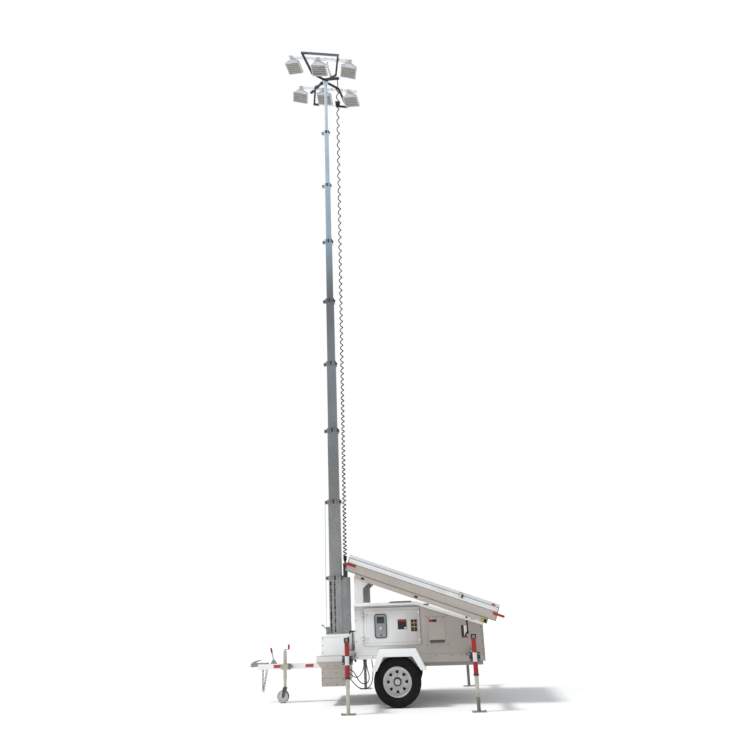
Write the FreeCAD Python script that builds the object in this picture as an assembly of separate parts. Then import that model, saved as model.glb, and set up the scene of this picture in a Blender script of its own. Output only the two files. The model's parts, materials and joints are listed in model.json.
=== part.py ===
# Towed light tower with sliding solar panels and a nine-section telescopic mast.
# Millimetres. +Z is up, -X is the drawbar end, -Y is the control-panel side.
# The origin is on the ground, at the middle of the footprint.
import FreeCAD
import Part
import math
import os

V = FreeCAD.Vector
os.makedirs("parts", exist_ok=True)

# Clearances
slide_gap = 0.3
running_gap = 0.05
door_gap = 8.0

# Housing
housing_front_x = -215.0
housing_rear_x = 1438.0
housing_half_width = 600.0
housing_wall = 30.0
housing_low_front_z = 554.0
housing_low_rear_z = 500.0
housing_step_x = 110.0
roof_z = 1225.0
roof_break_x = 587.0
roof_rear_z = 950.0
roof_thickness = 25.0
roof_overhang = 8.0
floor_thickness = 15.0

# Doors: opening in the wall and the leaf that laps over it
door_x0 = -90.0
door_x1 = 635.0
door_z0 = 716.0
door_z1 = 1175.0
door_lap = 28.0
door_thickness = 18.0
door_panel_border = 35.0
door_panel_rise = 3.0
door_knob_radius = 9.0
door_knob_length = 12.0
hinge_pin_radius = 5.0
hinge_knuckle_radius = 9.0
hinge_ear = 25.0
hinge_knuckle = 29.0
hinge_length = 80.0
hinge_zs = (door_z0 + 84.0, door_z1 - 85.0)
hinge_axis_x = door_x0 - 16.0

# Operator panel on the near door
panel_x0 = door_x0 + 137.0
panel_width = 161.0
panel_z0 = door_z0 + 87.0
panel_height = 296.0
panel_depth = 10.0
panel_corner = 34.0
panel_rim = 12.0
panel_recess = 4.0

# Vent panels
vent_x0 = 738.0
vent_x1 = 954.0
vent_z0 = 709.0
vent_z1 = 1041.0
vent_plate = 6.0
vent_hood_depth = 12.0
vent_hood_height = 35.0
vent_lap = 20.0

# Chassis
beam_low_z = 555.0
beam_height = 90.0
beam_width = 60.0
beam_y = 350.0
cross_member_front_x = 800.0
side_rail_low_z = 452.0
side_rail_width = 30.0
side_rail_front_x = 270.0
side_rail_y = housing_half_width - 50.0

# Wheels and axle
axle_x = 318.0
tyre_radius = 298.0
tyre_width = 158.0
wheel_gap = 24.0
rim_radius = 165.0
rim_flange_radius = 178.0
rim_width = 122.0
rim_wall = 4.0
rim_flange = 8.0
rim_well_depth = 22.0
rim_hole_count = 8
rim_face = 14.0
hub_radius = 52.0
stub_radius = 17.5
drum_radius = 112.0
drum_width = 46.0
axle_tube_rear = 130.0
axle_tube_z = 400.0
axle_tube_size = 70.0
axle_tube_wall = 6.0
arm_thickness = 25.0
arm_gap = 35.0
bracket_reach = 120.0
bracket_plate = 8.0
fender_low_z = 430.0
fender_top_z = 676.0
fender_front = 319.0
fender_rear = 370.0
fender_top_front = 209.0
fender_top_rear = 251.0
fender_plate = 4.0
fender_lip = 34.0
fender_overhang = 22.0

# Drawbar and front boxes
coupling_x = -1734.0
drawbar_z = 448.0
drawbar_size = 70.0
drawbar_wall = 6.0
box_front_x = -745.0
box_rear_x = -305.0
box_half_width = 470.0
box_inset = 20.0
upper_box_x0 = -680.0
upper_box_x1 = -308.0
upper_box_z = 845.0
skirt_z = 598.0
skirt_low_z = 530.0
lower_box_x1 = -377.0
lower_box_z = 232.0
lower_box_shoulder_z = 450.0

# Jockey wheel
jockey_x = -1240.0
jockey_y = -70.0
jockey_tube_radius = 24.0
jockey_leg_radius = 20.5
jockey_pin_radius = 8.0
jockey_wheel_radius = 80.0
jockey_wheel_width = 50.0
jockey_trail = 24.0

# Outriggers and jacks
outrigger_xs = {"front": -260.0, "rear": 1278.0}
outrigger_z = 600.0
outrigger_reach = 550.0
outrigger_lap = 145.0
sleeve_size = 90.0
sleeve_wall = 5.0
outrigger_wall = 5.0
jack_radius = 28.5
jack_wall = 3.0
jack_low_z = 390.0
jack_high_z = 800.0
jack_flange = 130.0
jack_flange_plate = 10.0
jack_cheek = 14.0
jack_head = 50.0
jack_leg_radius = 21.5
jack_leg_joint_z = 285.0
jack_leg_lap = 205.0
foot_size = 165.0
foot_width = 124.0
foot_thickness = 6.0
foot_edge = 14.0
foot_rise = 9.0

# Mast
mast_x = -526.0
mast_sections = 9
mast_base_size = 176.0
mast_step = 16.0
mast_wall = 3.0
mast_foot_z = 250.0
mast_base_top_z = 1596.0
section_exposed = 1060.0
section_length = 1280.0
collar_border = 12.0
collar_below = 45.0
collar_above = 15.0
rope_wheel_radius = 20.0
rope_wheel_width = 14.0
pad_height = 60.0
pad_side_gap = 8.0

# Solar cassette: a stack tilted about Y, its corner at the front end
solar_tilt = 20.0
solar_x = -330.0
solar_z = 1604.0
solar_length = 2030.0
solar_half_width = 700.0
solar_beam_height = 60.0
solar_beam_width = 60.0
solar_beam_front = 140.0
solar_beam_rear = solar_length - 115.0
solar_cross_front = 170.0
solar_cross_rear = solar_length - 250.0
tray_thickness = 4.0
end_plate = 5.0
lower_drawer_height = 97.0
upper_drawer_height = 56.0
ledge_height = 4.0
ledge_width = 30.0
top_panel_height = 36.0
panel_border = 30.0
glass_depth = 4.0
slot_length = 46.0
slot_height = 26.0
lever_front_reach = 30.0
lever_rear_reach = 90.0
lever_thickness = 14.0
lever_height = 20.0

# Solar posts
post_x0 = -209.0
post_width = 112.0
post_depth = 70.0
post_wall = 5.0
post_gusset = 75.0
post_gusset_drop = 95.0
rear_foot_x = 1290.0
rear_foot_length = 60.0
rear_foot_width = 80.0

# Lamp head: the frame leans about Y on the mast top
head_rise = 26.0
head_lean = 11.5
head_bar = 30.0
head_outer_y = 668.0
head_outer_half = 315.0
head_waist_y = 178.0
head_waist_half = 215.0
crossbar_size = 36.0
crossbar_half = 535.0
near_crossbar_y = -504.0
far_crossbar_y = 265.0
lamp_width = 273.0
lamp_height = 307.0
lamp_neck = 82.0
lamp_front = 33.0
lamp_back = 30.0
lamp_fin = 20.0
lamp_lug_radius = 10.0
lamp_lug_width = 36.0
lamp_pivot_radius = 6.0
lamp_pivot_rise = 5.0
lamp_pivot_reach = 30.0
clevis_plate = 6.0
lamp_tilt = 75.0


def box(x0, x1, y0, y1, z0, z1):
    low = V(min(x0, x1), min(y0, y1), min(z0, z1))
    return Part.makeBox(abs(x1 - x0), abs(y1 - y0), abs(z1 - z0), low)


def fuse(shapes):
    whole = shapes[0]
    if len(shapes) > 1:
        whole = whole.multiFuse(shapes[1:])
    return whole.removeSplitter()


def rod(start, end, radius):
    axis = end - start
    return Part.makeCylinder(radius, axis.Length, start, axis)


def square_bar(start, end, size):
    # A square bar between two points, its sides level with the ground where it can be
    along = end - start
    length = along.Length
    bar = Part.makeBox(length, size, size, V(0, -size / 2, -size / 2))
    bar.Placement = FreeCAD.Placement(start, FreeCAD.Rotation(V(1, 0, 0), along))
    return bar


def prism_xz(points, y0, y1):
    # A plate or block whose outline lies in the XZ plane, from y0 to y1
    corners = [V(x, y0, z) for x, z in points]
    face = Part.Face(Part.makePolygon(corners + [corners[0]]))
    return face.extrude(V(0, y1 - y0, 0))


def square_tube(x, y, size, wall, z0, z1):
    half = size / 2
    outer = box(x - half, x + half, y - half, y + half, z0, z1)
    bore = half - wall
    return outer.cut(box(x - bore, x + bore, y - bore, y + bore, z0 - 1, z1 + 1))


def ring(x, y, z0, z1, outer_radius, inner_radius):
    body = Part.makeCylinder(outer_radius, z1 - z0, V(x, y, z0))
    return body.cut(Part.makeCylinder(inner_radius, z1 - z0 + 2, V(x, y, z0 - 1)))


def revolve_y(profile, x, z):
    # Turns a closed outline of (y, radius) points about the Y axis through (x, z)
    corners = [V(x, y, z + r) for y, r in profile]
    face = Part.Face(Part.makePolygon(corners + [corners[0]]))
    return face.revolve(V(x, 0, z), V(0, 1, 0), 360)


def write(name, shape):
    if not shape.isValid():
        print("not valid:", name)
    shape.exportStep("parts/" + name + ".step")
    print(name, "solids", len(shape.Solids), "volume", round(shape.Volume))


def write_group(name, shapes):
    write(name, Part.makeCompound([s for shape in shapes for s in shape.Solids]))


# Drawbar: square tube from the coupling back to the front box, with its rear flange and chain eyes
drawbar_front_x = coupling_x + 110.0
drawbar_half = drawbar_size / 2
drawbar_low_z = drawbar_z - drawbar_half
drawbar_top_z = drawbar_z + drawbar_half
flange_thickness = 10.0
flange_half_width = 75.0
flange_drop = 65.0
chain_x = drawbar_front_x + 64.0
chain_ys = (-22.0, 22.0)
chain_eye_radius = 6.5
chain_eye_plate = 5.0
chain_eye_half_width = 34.0
chain_eye_drop = 24.0
chain_eye_z = drawbar_low_z - 9.0


def make_drawbar():
    tube = box(drawbar_front_x, upper_box_x0, -drawbar_half, drawbar_half, drawbar_low_z, drawbar_top_z)
    bore = drawbar_half - drawbar_wall
    tube = tube.cut(box(drawbar_front_x - 1, upper_box_x0 + 1, -bore, bore, drawbar_z - bore, drawbar_z + bore))
    flange = box(upper_box_x0 - flange_thickness, upper_box_x0, -flange_half_width, flange_half_width,
                 drawbar_z - flange_drop, drawbar_low_z)
    half = chain_eye_plate / 2
    eyes = box(chain_x - half, chain_x + half, -chain_eye_half_width, chain_eye_half_width,
               drawbar_low_z - chain_eye_drop, drawbar_low_z)
    for y in chain_ys:
        eyes = eyes.cut(rod(V(chain_x - half - 1, y, chain_eye_z), V(chain_x + half + 1, y, chain_eye_z),
                            chain_eye_radius))
    return fuse([tube, flange, eyes])


# Coupling: ball socket, its neck and the latch lever
ball_radius = 25.0
ball_gap = 0.4
socket_radius = 34.0
neck_half_width = 26.0
shoe_length = 140.0
shoe_thickness = 12.0
latch_half_width = 8.0


def make_coupling():
    socket_x = coupling_x + socket_radius
    body = Part.makeSphere(socket_radius, V(socket_x, 0, drawbar_z + 30))
    skirt = Part.makeCylinder(socket_radius, 30, V(socket_x, 0, drawbar_z))
    neck = box(socket_x, drawbar_front_x, -neck_half_width, neck_half_width, drawbar_z + 4, drawbar_z + 50)
    shoe = box(socket_x + 30, drawbar_front_x + shoe_length, -drawbar_half, drawbar_half,
               drawbar_top_z, drawbar_top_z + shoe_thickness)
    latch = prism_xz([(socket_x, drawbar_z + 55), (socket_x + 20, drawbar_z + 75),
                      (socket_x + 120, drawbar_z + 92), (socket_x + 120, drawbar_z + 84),
                      (socket_x + 40, drawbar_z + 55)], -latch_half_width, latch_half_width)
    whole = fuse([body, skirt, neck, shoe, latch])
    ball_space = Part.makeSphere(ball_radius + ball_gap, V(socket_x, 0, drawbar_z + 26))
    ball_way = Part.makeCylinder(ball_radius + ball_gap, 60, V(socket_x, 0, drawbar_z - 34))
    return whole.cut(ball_space.fuse(ball_way)).removeSplitter()


# Parking brake lever on its bracket
lever_x = -1410.0
brake_plate = 8.0
brake_bar = 12.0
brake_grip_radius = 13.0


def make_brake_lever():
    low = drawbar_top_z
    bracket = prism_xz([(lever_x - 45, low), (lever_x + 55, low), (lever_x + 15, low + 55), (lever_x - 15, low + 55)],
                       -20, -20 + brake_plate)
    lever = square_bar(V(lever_x, -8, low + 40), V(lever_x - 28, -8, low + 150), brake_bar)
    grip = rod(V(lever_x - 26, -8, low + 140), V(lever_x - 40, -8, low + 205), brake_grip_radius)
    return fuse([bracket, lever, grip])


# Two hanging safety chains: each link is a flat eight-sided plate with a slot, turned a quarter from the last
chain_links = 7
link_length = 46.0
link_half_width = 11.0
link_bar = 5.0
link_corner = 7.0
link_slot_corner = 3.5
link_slot_flat = 2.6
link_gap = 0.4
link_pitch = link_length - 2 * link_bar - link_gap
chain_seat = math.sqrt(chain_eye_radius ** 2 - (link_bar / 2) ** 2)


def link_outline(x, top, flat, half, corner, length):
    low = top - length
    return [(x - flat, top), (x + flat, top), (x + half, top - corner), (x + half, low + corner),
            (x + flat, low), (x - flat, low), (x - half, low + corner), (x - half, top - corner)]


def make_link(x, y, top, turned):
    y0 = y - link_bar / 2
    y1 = y + link_bar / 2
    outer = prism_xz(link_outline(x, top, link_half_width - link_corner, link_half_width, link_corner, link_length),
                     y0, y1)
    slot = prism_xz(link_outline(x, top - link_bar, link_slot_flat, link_half_width - link_bar, link_slot_corner,
                                 link_length - 2 * link_bar), y0 - 1, y1 + 1)
    link = outer.cut(slot)
    if turned:
        link.rotate(V(x, y, 0), V(0, 0, 1), 90)
    return link


def make_chains():
    links = []
    first_top = chain_eye_z - chain_seat + link_gap + link_bar
    for y in chain_ys:
        for i in range(chain_links):
            links.append(make_link(chain_x, y, first_top - i * link_pitch, i % 2 == 1))
    return links


# Jockey wheel: clamped tube, sliding leg, swivelling fork and wheel
jockey_top_z = 634.0
jockey_tube_low_z = 300.0
jockey_fork_z = 185.0
jockey_leg_top_z = 480.0
jockey_wheel_x = jockey_x - jockey_trail


jockey_clamp_half = 50.0
jockey_clamp_height = 34.0
jockey_cap = 14.0
jockey_spindle_radius = 9.0
jockey_spindle = 24.0
crank_bar = 12.0
crank_knob_radius = 13.0
crank_knob_length = 60.0
fork_half_width = 26.0
fork_gap = 6.0
fork_plate = 5.0
fork_reach = 16.0


def make_jockey_tube():
    tube = ring(jockey_x, jockey_y, jockey_tube_low_z, jockey_top_z, jockey_tube_radius,
                jockey_leg_radius + running_gap)
    clamp = box(jockey_x - jockey_clamp_half, jockey_x + jockey_clamp_half,
                jockey_y - jockey_tube_radius - 10, -drawbar_half,
                drawbar_z - jockey_clamp_height, drawbar_z + jockey_clamp_height)
    clamp = clamp.cut(Part.makeCylinder(jockey_tube_radius, 200, V(jockey_x, jockey_y, drawbar_z - 100)))
    cap = Part.makeCylinder(jockey_tube_radius + 2, jockey_cap, V(jockey_x, jockey_y, jockey_top_z))
    spindle_z = jockey_top_z + jockey_cap
    spindle = Part.makeCylinder(jockey_spindle_radius, jockey_spindle, V(jockey_x, jockey_y, spindle_z))
    crank_z = spindle_z + 18
    crank = square_bar(V(jockey_x - 10, jockey_y, crank_z), V(jockey_x + 60, jockey_y, crank_z), crank_bar)
    knob = Part.makeCylinder(crank_knob_radius, crank_knob_length, V(jockey_x + 52, jockey_y, crank_z + 4))
    return fuse([tube, clamp, cap, spindle, crank, knob])


def make_jockey_leg():
    leg_low_z = jockey_fork_z + jockey_pin_radius
    leg = Part.makeCylinder(jockey_leg_radius, jockey_leg_top_z - leg_low_z, V(jockey_x, jockey_y, leg_low_z))
    pin = Part.makeCylinder(jockey_pin_radius, 22, V(jockey_x, jockey_y, leg_low_z - 22))
    return fuse([leg, pin])


def make_jockey_fork():
    plate_low = jockey_fork_z - jockey_pin_radius
    crown_half = jockey_wheel_width / 2 + fork_gap + fork_plate
    crown = box(jockey_x - fork_half_width, jockey_x + fork_half_width, jockey_y - crown_half,
                jockey_y + crown_half, plate_low, jockey_fork_z + jockey_pin_radius - slide_gap)
    sides = []
    for side in (-1, 1):
        y0 = jockey_y + side * (jockey_wheel_width / 2 + fork_gap)
        y1 = jockey_y + side * crown_half
        outline = [(jockey_x - fork_half_width, jockey_fork_z), (jockey_x + fork_half_width, jockey_fork_z),
                   (jockey_wheel_x + fork_reach, jockey_wheel_radius - fork_reach),
                   (jockey_wheel_x - fork_reach, jockey_wheel_radius - fork_reach)]
        sides.append(prism_xz(outline, y0, y1))
    axle_half = crown_half + 2
    axle = rod(V(jockey_wheel_x, jockey_y - axle_half, jockey_wheel_radius),
               V(jockey_wheel_x, jockey_y + axle_half, jockey_wheel_radius), jockey_pin_radius)
    bore = Part.makeCylinder(jockey_pin_radius + running_gap, 60, V(jockey_x, jockey_y, plate_low - 5))
    return fuse([crown] + sides + [axle]).cut(bore)


def make_jockey_wheel():
    half = jockey_wheel_width / 2
    bore = jockey_pin_radius + running_gap
    profile = [(-half, bore), (half, bore), (half, 24), (half - 14, 30), (half - 14, 52),
               (half, 58), (half, 68), (half - 10, jockey_wheel_radius), (-half + 10, jockey_wheel_radius),
               (-half, 68), (-half, 58), (-half + 14, 52), (-half + 14, 30), (-half, 24)]
    return revolve_y([(jockey_y + y, r) for y, r in profile], jockey_wheel_x, jockey_wheel_radius)


# Chassis: two long beams, cross members, outrigger sleeves and the lower side rails
beam_top_z = beam_low_z + beam_height
chassis_rear_x = housing_rear_x - housing_wall
side_inner_y = housing_half_width - housing_wall


def make_chassis():
    pieces = []
    for side in (-1, 1):
        y0 = side * (beam_y - beam_width / 2)
        y1 = side * (beam_y + beam_width / 2)
        pieces.append(box(box_rear_x, chassis_rear_x, y0, y1, beam_low_z, beam_top_z))
        ry0 = side * (side_rail_y - side_rail_width / 2)
        ry1 = side * (side_rail_y + side_rail_width / 2)
        pieces.append(box(side_rail_front_x, chassis_rear_x, ry0, ry1, side_rail_low_z, beam_low_z))
    for x in (housing_front_x + housing_wall, side_rail_front_x, cross_member_front_x, chassis_rear_x - beam_width):
        pieces.append(box(x, x + beam_width, -side_inner_y, side_inner_y, beam_low_z, beam_top_z))
    half = sleeve_size / 2
    bore = half - sleeve_wall
    bores = []
    for x in outrigger_xs.values():
        pieces.append(box(x - half, x + half, -housing_half_width, housing_half_width,
                          outrigger_z - half, outrigger_z + half))
        bores.append(box(x - bore, x + bore, -housing_half_width - 1, housing_half_width + 1,
                         outrigger_z - bore, outrigger_z + bore))
    whole = fuse(pieces)
    for space in bores:
        whole = whole.cut(space)
    return whole


# Axle: cross tube under the chassis with its hangers, trailing arms and stub axles
axle_tube_x = axle_x + axle_tube_rear
arm_outer_y = housing_half_width - arm_gap
arm_inner_y = arm_outer_y - arm_thickness
hanger_inner_y = housing_half_width - bracket_reach
hanger_half = 60.0
hanger_top_z = side_rail_low_z + 90.0
tyre_outer_y = housing_half_width + wheel_gap + tyre_width
wheel_mid_y = tyre_outer_y - tyre_width / 2
stub_end_y = wheel_mid_y + 44.0
arm_reach = 34.0


def make_axle():
    half = axle_tube_size / 2
    bore = half - axle_tube_wall
    tube = box(axle_tube_x - half, axle_tube_x + half, -arm_inner_y, arm_inner_y,
               axle_tube_z - half, axle_tube_z + half)
    pieces = [tube]
    for side in (-1, 1):
        outline = [(axle_tube_x + half, axle_tube_z - half), (axle_tube_x + half, axle_tube_z + half),
                   (axle_tube_x - half, axle_tube_z + half), (axle_x - arm_reach, tyre_radius + 20),
                   (axle_x - arm_reach, tyre_radius - arm_reach), (axle_x + 20, tyre_radius - arm_reach)]
        pieces.append(prism_xz(outline, side * arm_inner_y, side * arm_outer_y))
        pieces.append(rod(V(axle_x, side * arm_inner_y, tyre_radius), V(axle_x, side * stub_end_y, tyre_radius),
                          stub_radius))
        rail_y = side * (side_rail_y - side_rail_width / 2)
        for x in (axle_tube_x - hanger_half, axle_tube_x + hanger_half - bracket_plate):
            pieces.append(box(x, x + bracket_plate, side * hanger_inner_y, rail_y, axle_tube_z - 10, hanger_top_z))
        pieces.append(box(axle_tube_x - hanger_half, axle_tube_x + hanger_half, side * hanger_inner_y, rail_y,
                          axle_tube_z - 10, axle_tube_z + 10))
    whole = fuse(pieces)
    return whole.cut(box(axle_tube_x - bore, axle_tube_x + bore, -arm_outer_y - 1, arm_outer_y + 1,
                         axle_tube_z - bore, axle_tube_z + bore))


# Fenders: bent plate over each wheel with an outer lip
fender_top = (axle_x - fender_top_front, axle_x + fender_top_rear)
fender_low = (axle_x - fender_front, axle_x + fender_rear)
fender_outer_y = tyre_outer_y + fender_overhang


def fender_outline(inset):
    return [(fender_low[0] + inset * 1.1, fender_low_z), (fender_top[0] + inset * 0.6, fender_top_z - inset),
            (fender_top[1] - inset * 0.6, fender_top_z - inset), (fender_low[1] - inset * 1.1, fender_low_z)]


def make_fender(side):
    y0 = side * housing_half_width
    y1 = side * fender_outer_y
    shell = prism_xz(fender_outline(0), y0, y1)
    inner = prism_xz(fender_outline(fender_plate), y0 - side, y1 - side * fender_plate)
    window = prism_xz(fender_outline(fender_lip), y0, y1 + side)
    return shell.cut(inner).cut(window)


# Wheels: pressed rim with eight holes, brake drum and hub, and the tyre
rim_half = rim_width / 2
rim_seat = rim_half - rim_flange - 4.0
rim_well_radius = rim_radius - rim_well_depth
rim_ledge = 28.0
rim_well_half = 20.0
hub_cap_radius = 34.0
tyre_bead = rim_seat - 3.0
tyre_shoulder = 60.0
tyre_wide_radius = 238.0


def make_rim(side):
    mid = side * wheel_mid_y
    bead = rim_radius
    well = rim_well_radius
    under = bead - rim_wall
    low = well - rim_wall
    outer = [(-rim_half, rim_flange_radius), (-rim_half + rim_flange, rim_flange_radius), (-rim_seat, bead),
             (-rim_ledge, bead), (-rim_well_half, well), (rim_well_half, well), (rim_ledge, bead), (rim_seat, bead),
             (rim_half - rim_flange, rim_flange_radius), (rim_half, rim_flange_radius),
             (rim_half, rim_flange_radius - 5), (rim_half - rim_flange, under), (rim_ledge + 2, under),
             (rim_well_half + 2, low), (-rim_well_half - 2, low), (-rim_ledge - 2, under),
             (-rim_half + rim_flange, under), (-rim_half, rim_flange_radius - 5)]
    barrel = revolve_y([(mid + y, r) for y, r in outer], axle_x, tyre_radius)
    face = side * rim_face
    disc = [(mid + face, low + 1), (mid + face + side * 6, low + 1),
            (mid + face + side * 24, 98), (mid + face + side * 12, 66), (mid + face + side * 12, 30),
            (mid + face + side * 4, 30), (mid + face + side * 4, 68), (mid + face + side * 16, 98)]
    plate = revolve_y(disc, axle_x, tyre_radius)
    for i in range(rim_hole_count):
        hole = prism_xz([(axle_x - 15, tyre_radius + 96), (axle_x + 15, tyre_radius + 96),
                         (axle_x + 5, tyre_radius + 124), (axle_x - 5, tyre_radius + 124)],
                        mid - side * 10, mid + side * 70)
        hole.rotate(V(axle_x, 0, tyre_radius), V(0, 1, 0), 360.0 * i / rim_hole_count)
        plate = plate.cut(hole)
    bore = stub_radius + running_gap
    hub_in = side * (arm_outer_y + 8)
    cap = stub_end_y - wheel_mid_y + slide_gap
    hub = revolve_y([(hub_in, bore), (hub_in, drum_radius),
                     (hub_in + side * drum_width, drum_radius), (hub_in + side * drum_width, hub_radius),
                     (mid + side * 36, hub_radius), (mid + side * (cap + 6), hub_cap_radius),
                     (mid + side * (cap + 6), 0), (mid + side * cap, 0), (mid + side * cap, bore)],
                    axle_x, tyre_radius)
    return fuse([barrel, plate, hub])


def make_tyre(side):
    mid = side * wheel_mid_y
    half = tyre_width / 2
    profile = [(-tyre_bead, rim_radius + slide_gap), (-half, tyre_wide_radius), (-tyre_shoulder, tyre_radius),
               (tyre_shoulder, tyre_radius), (half, tyre_wide_radius), (tyre_bead, rim_radius + slide_gap)]
    return revolve_y([(mid + y, r) for y, r in profile], axle_x, tyre_radius)


# Front boxes around the mast foot
def mast_well(z0, z1):
    half = mast_base_size / 2
    return box(mast_x - half, mast_x + half, -half, half, z0, z1)


def make_front_box_lower():
    outline = [(box_front_x, skirt_z), (box_front_x, skirt_low_z), (upper_box_x0, lower_box_shoulder_z),
               (upper_box_x0, lower_box_z), (lower_box_x1, lower_box_z), (lower_box_x1, lower_box_shoulder_z),
               (box_rear_x, skirt_low_z), (box_rear_x, skirt_z)]
    block = prism_xz(outline, -box_half_width, box_half_width)
    notch = box(box_front_x - 1, upper_box_x0, -drawbar_half, drawbar_half, lower_box_z, drawbar_top_z)
    return block.cut(mast_well(mast_foot_z, skirt_z + 1)).cut(notch)


def make_front_box_upper():
    half = box_half_width - box_inset
    block = box(upper_box_x0, upper_box_x1, -half, half, skirt_z, upper_box_z)
    return block.cut(mast_well(skirt_z - 1, upper_box_z + 1))


# Housing panels
floor_z = beam_top_z + floor_thickness
roof_under_z = roof_z - roof_thickness


def roof_line(x, offset):
    if x <= roof_break_x:
        return roof_z - offset
    slope = (roof_rear_z - roof_z) / (housing_rear_x - roof_break_x)
    return roof_z - offset + slope * (x - roof_break_x)


def side_outline():
    return [(housing_front_x, housing_low_front_z), (housing_step_x, housing_low_front_z),
            (housing_step_x, housing_low_rear_z), (housing_rear_x, housing_low_rear_z),
            (housing_rear_x, roof_line(housing_rear_x, roof_thickness)),
            (roof_break_x, roof_under_z), (housing_front_x, roof_under_z)]


hinge_offset = door_gap + door_thickness + hinge_knuckle_radius
hinge_foot = 5.0


def hinge_brackets(side):
    # Fixed ears and pin of each door hinge
    wall = side * housing_half_width
    pin_y = side * (housing_half_width + hinge_offset)
    radius = hinge_knuckle_radius
    pieces = []
    for z in hinge_zs:
        low = z - hinge_length / 2
        pieces.append(Part.makeCylinder(hinge_pin_radius, hinge_length, V(hinge_axis_x, pin_y, low)))
        for z0 in (low, z + hinge_length / 2 - hinge_ear):
            pieces.append(box(hinge_axis_x - radius, hinge_axis_x + radius, wall, pin_y + side * radius,
                              z0, z0 + hinge_ear))
            pieces.append(box(hinge_axis_x - radius - hinge_ear, hinge_axis_x + radius, wall,
                              wall + side * hinge_foot, z0, z0 + hinge_ear))
    return pieces


def make_housing_side(side):
    wall_in = side * side_inner_y
    wall_out = side * housing_half_width
    plate = prism_xz(side_outline(), wall_in, wall_out)
    opening = box(door_x0 + door_lap, door_x1 - door_lap, wall_in - side, wall_out + side,
                  door_z0 + door_lap, door_z1 - door_lap)
    vent = box(vent_x0 + vent_lap, vent_x1 - vent_lap, wall_in - side, wall_out + side,
               vent_z0 + vent_lap, vent_z1 - vent_lap)
    half = sleeve_size / 2
    x = outrigger_xs["rear"]
    sleeve = box(x - half, x + half, wall_in - side, wall_out + side, outrigger_z - half, outrigger_z + half)
    plate = plate.cut(opening).cut(vent).cut(sleeve)
    return fuse([plate] + hinge_brackets(side))


def make_housing_ends():
    front = box(housing_front_x, housing_front_x + housing_wall, -side_inner_y, side_inner_y,
                beam_top_z, roof_under_z)
    rear_top = roof_line(housing_rear_x, roof_thickness)
    rear = box(housing_rear_x - housing_wall, housing_rear_x, -side_inner_y, side_inner_y,
               housing_low_rear_z, rear_top)
    return [front, rear]


def make_housing_floor():
    return box(housing_front_x + housing_wall, housing_rear_x - housing_wall, -side_inner_y, side_inner_y,
               beam_top_z, floor_z)


def make_housing_roof():
    half = housing_half_width + roof_overhang
    x0 = housing_front_x - roof_overhang
    x1 = housing_rear_x + roof_overhang
    outline = [(x0, roof_under_z), (x0, roof_z), (roof_break_x, roof_z), (x1, roof_line(x1, 0)),
               (x1, roof_line(x1, roof_thickness)), (roof_break_x, roof_under_z)]
    return prism_xz(outline, -half, half)


battery_x0 = -60.0
battery_x1 = 760.0
battery_height = 250.0
battery_half_width = housing_half_width * 0.55


def make_battery_block():
    return box(battery_x0, battery_x1, -battery_half_width, battery_half_width, floor_z, floor_z + battery_height)


# Doors: leaf that laps over the opening, its hinge knuckles and the latch knobs
def make_door(side):
    inner = side * (housing_half_width + door_gap)
    outer = side * (housing_half_width + door_gap + door_thickness)
    pin_y = side * (housing_half_width + hinge_offset)
    border = door_panel_border
    leaf = box(door_x0, door_x1, inner, outer, door_z0, door_z1)
    panel = box(door_x0 + border, door_x1 - border, outer, outer + side * door_panel_rise,
                door_z0 + border, door_z1 - border)
    pieces = [leaf, panel]
    half = hinge_knuckle / 2
    for z in hinge_zs:
        knuckle = ring(hinge_axis_x, pin_y, z - half, z + half, hinge_knuckle_radius,
                       hinge_pin_radius + running_gap)
        strap = box(hinge_axis_x + hinge_knuckle_radius - 1, door_x0 + 60, outer - side * 2, outer + side * 5,
                    z - half, z + half)
        pieces += [knuckle, strap]
    knob_x = door_x1 - 2 * door_knob_radius
    for z in (door_z0 + 60, door_z1 - 60):
        pieces.append(rod(V(knob_x, outer, z), V(knob_x, outer + side * door_knob_length, z), door_knob_radius))
    whole = fuse(pieces)
    for z in hinge_zs:
        whole = whole.cut(Part.makeCylinder(hinge_pin_radius + running_gap, 60, V(hinge_axis_x, pin_y, z - 30)))
    return whole


def rounded_plate(x0, x1, y0, y1, z0, z1, radius):
    plate = box(x0, x1, y0, y1, z0, z1)
    edges = [e for e in plate.Edges if abs(e.tangentAt(e.FirstParameter).y) > 0.9]
    return plate.makeFillet(radius, edges)


def make_controller():
    # Operator panel on the near door: rounded frame, sunk face, screen, knob and button
    back = -(housing_half_width + door_gap + door_thickness + door_panel_rise)
    front = back - panel_depth
    face = front + panel_recess
    x0 = panel_x0
    x1 = panel_x0 + panel_width
    z0 = panel_z0
    z1 = panel_z0 + panel_height
    frame = rounded_plate(x0, x1, back, front, z0, z1, panel_corner)
    sunk = rounded_plate(x0 + panel_rim, x1 - panel_rim, face, front - 1, z0 + panel_rim, z1 - panel_rim,
                         panel_corner - panel_rim + 2)
    frame = frame.cut(sunk)
    mid_x = panel_x0 + panel_width / 2
    screen = box(mid_x - 43, mid_x + 43, face, face - 2, z1 - 109, z1 - 39)
    knob = rod(V(mid_x, face, z0 + 122), V(mid_x, face - 8, z0 + 122), 17)
    button = rod(V(mid_x, face, z0 + 39), V(mid_x, face - 6, z0 + 39), 10)
    return fuse([frame, screen, knob, button])


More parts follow.
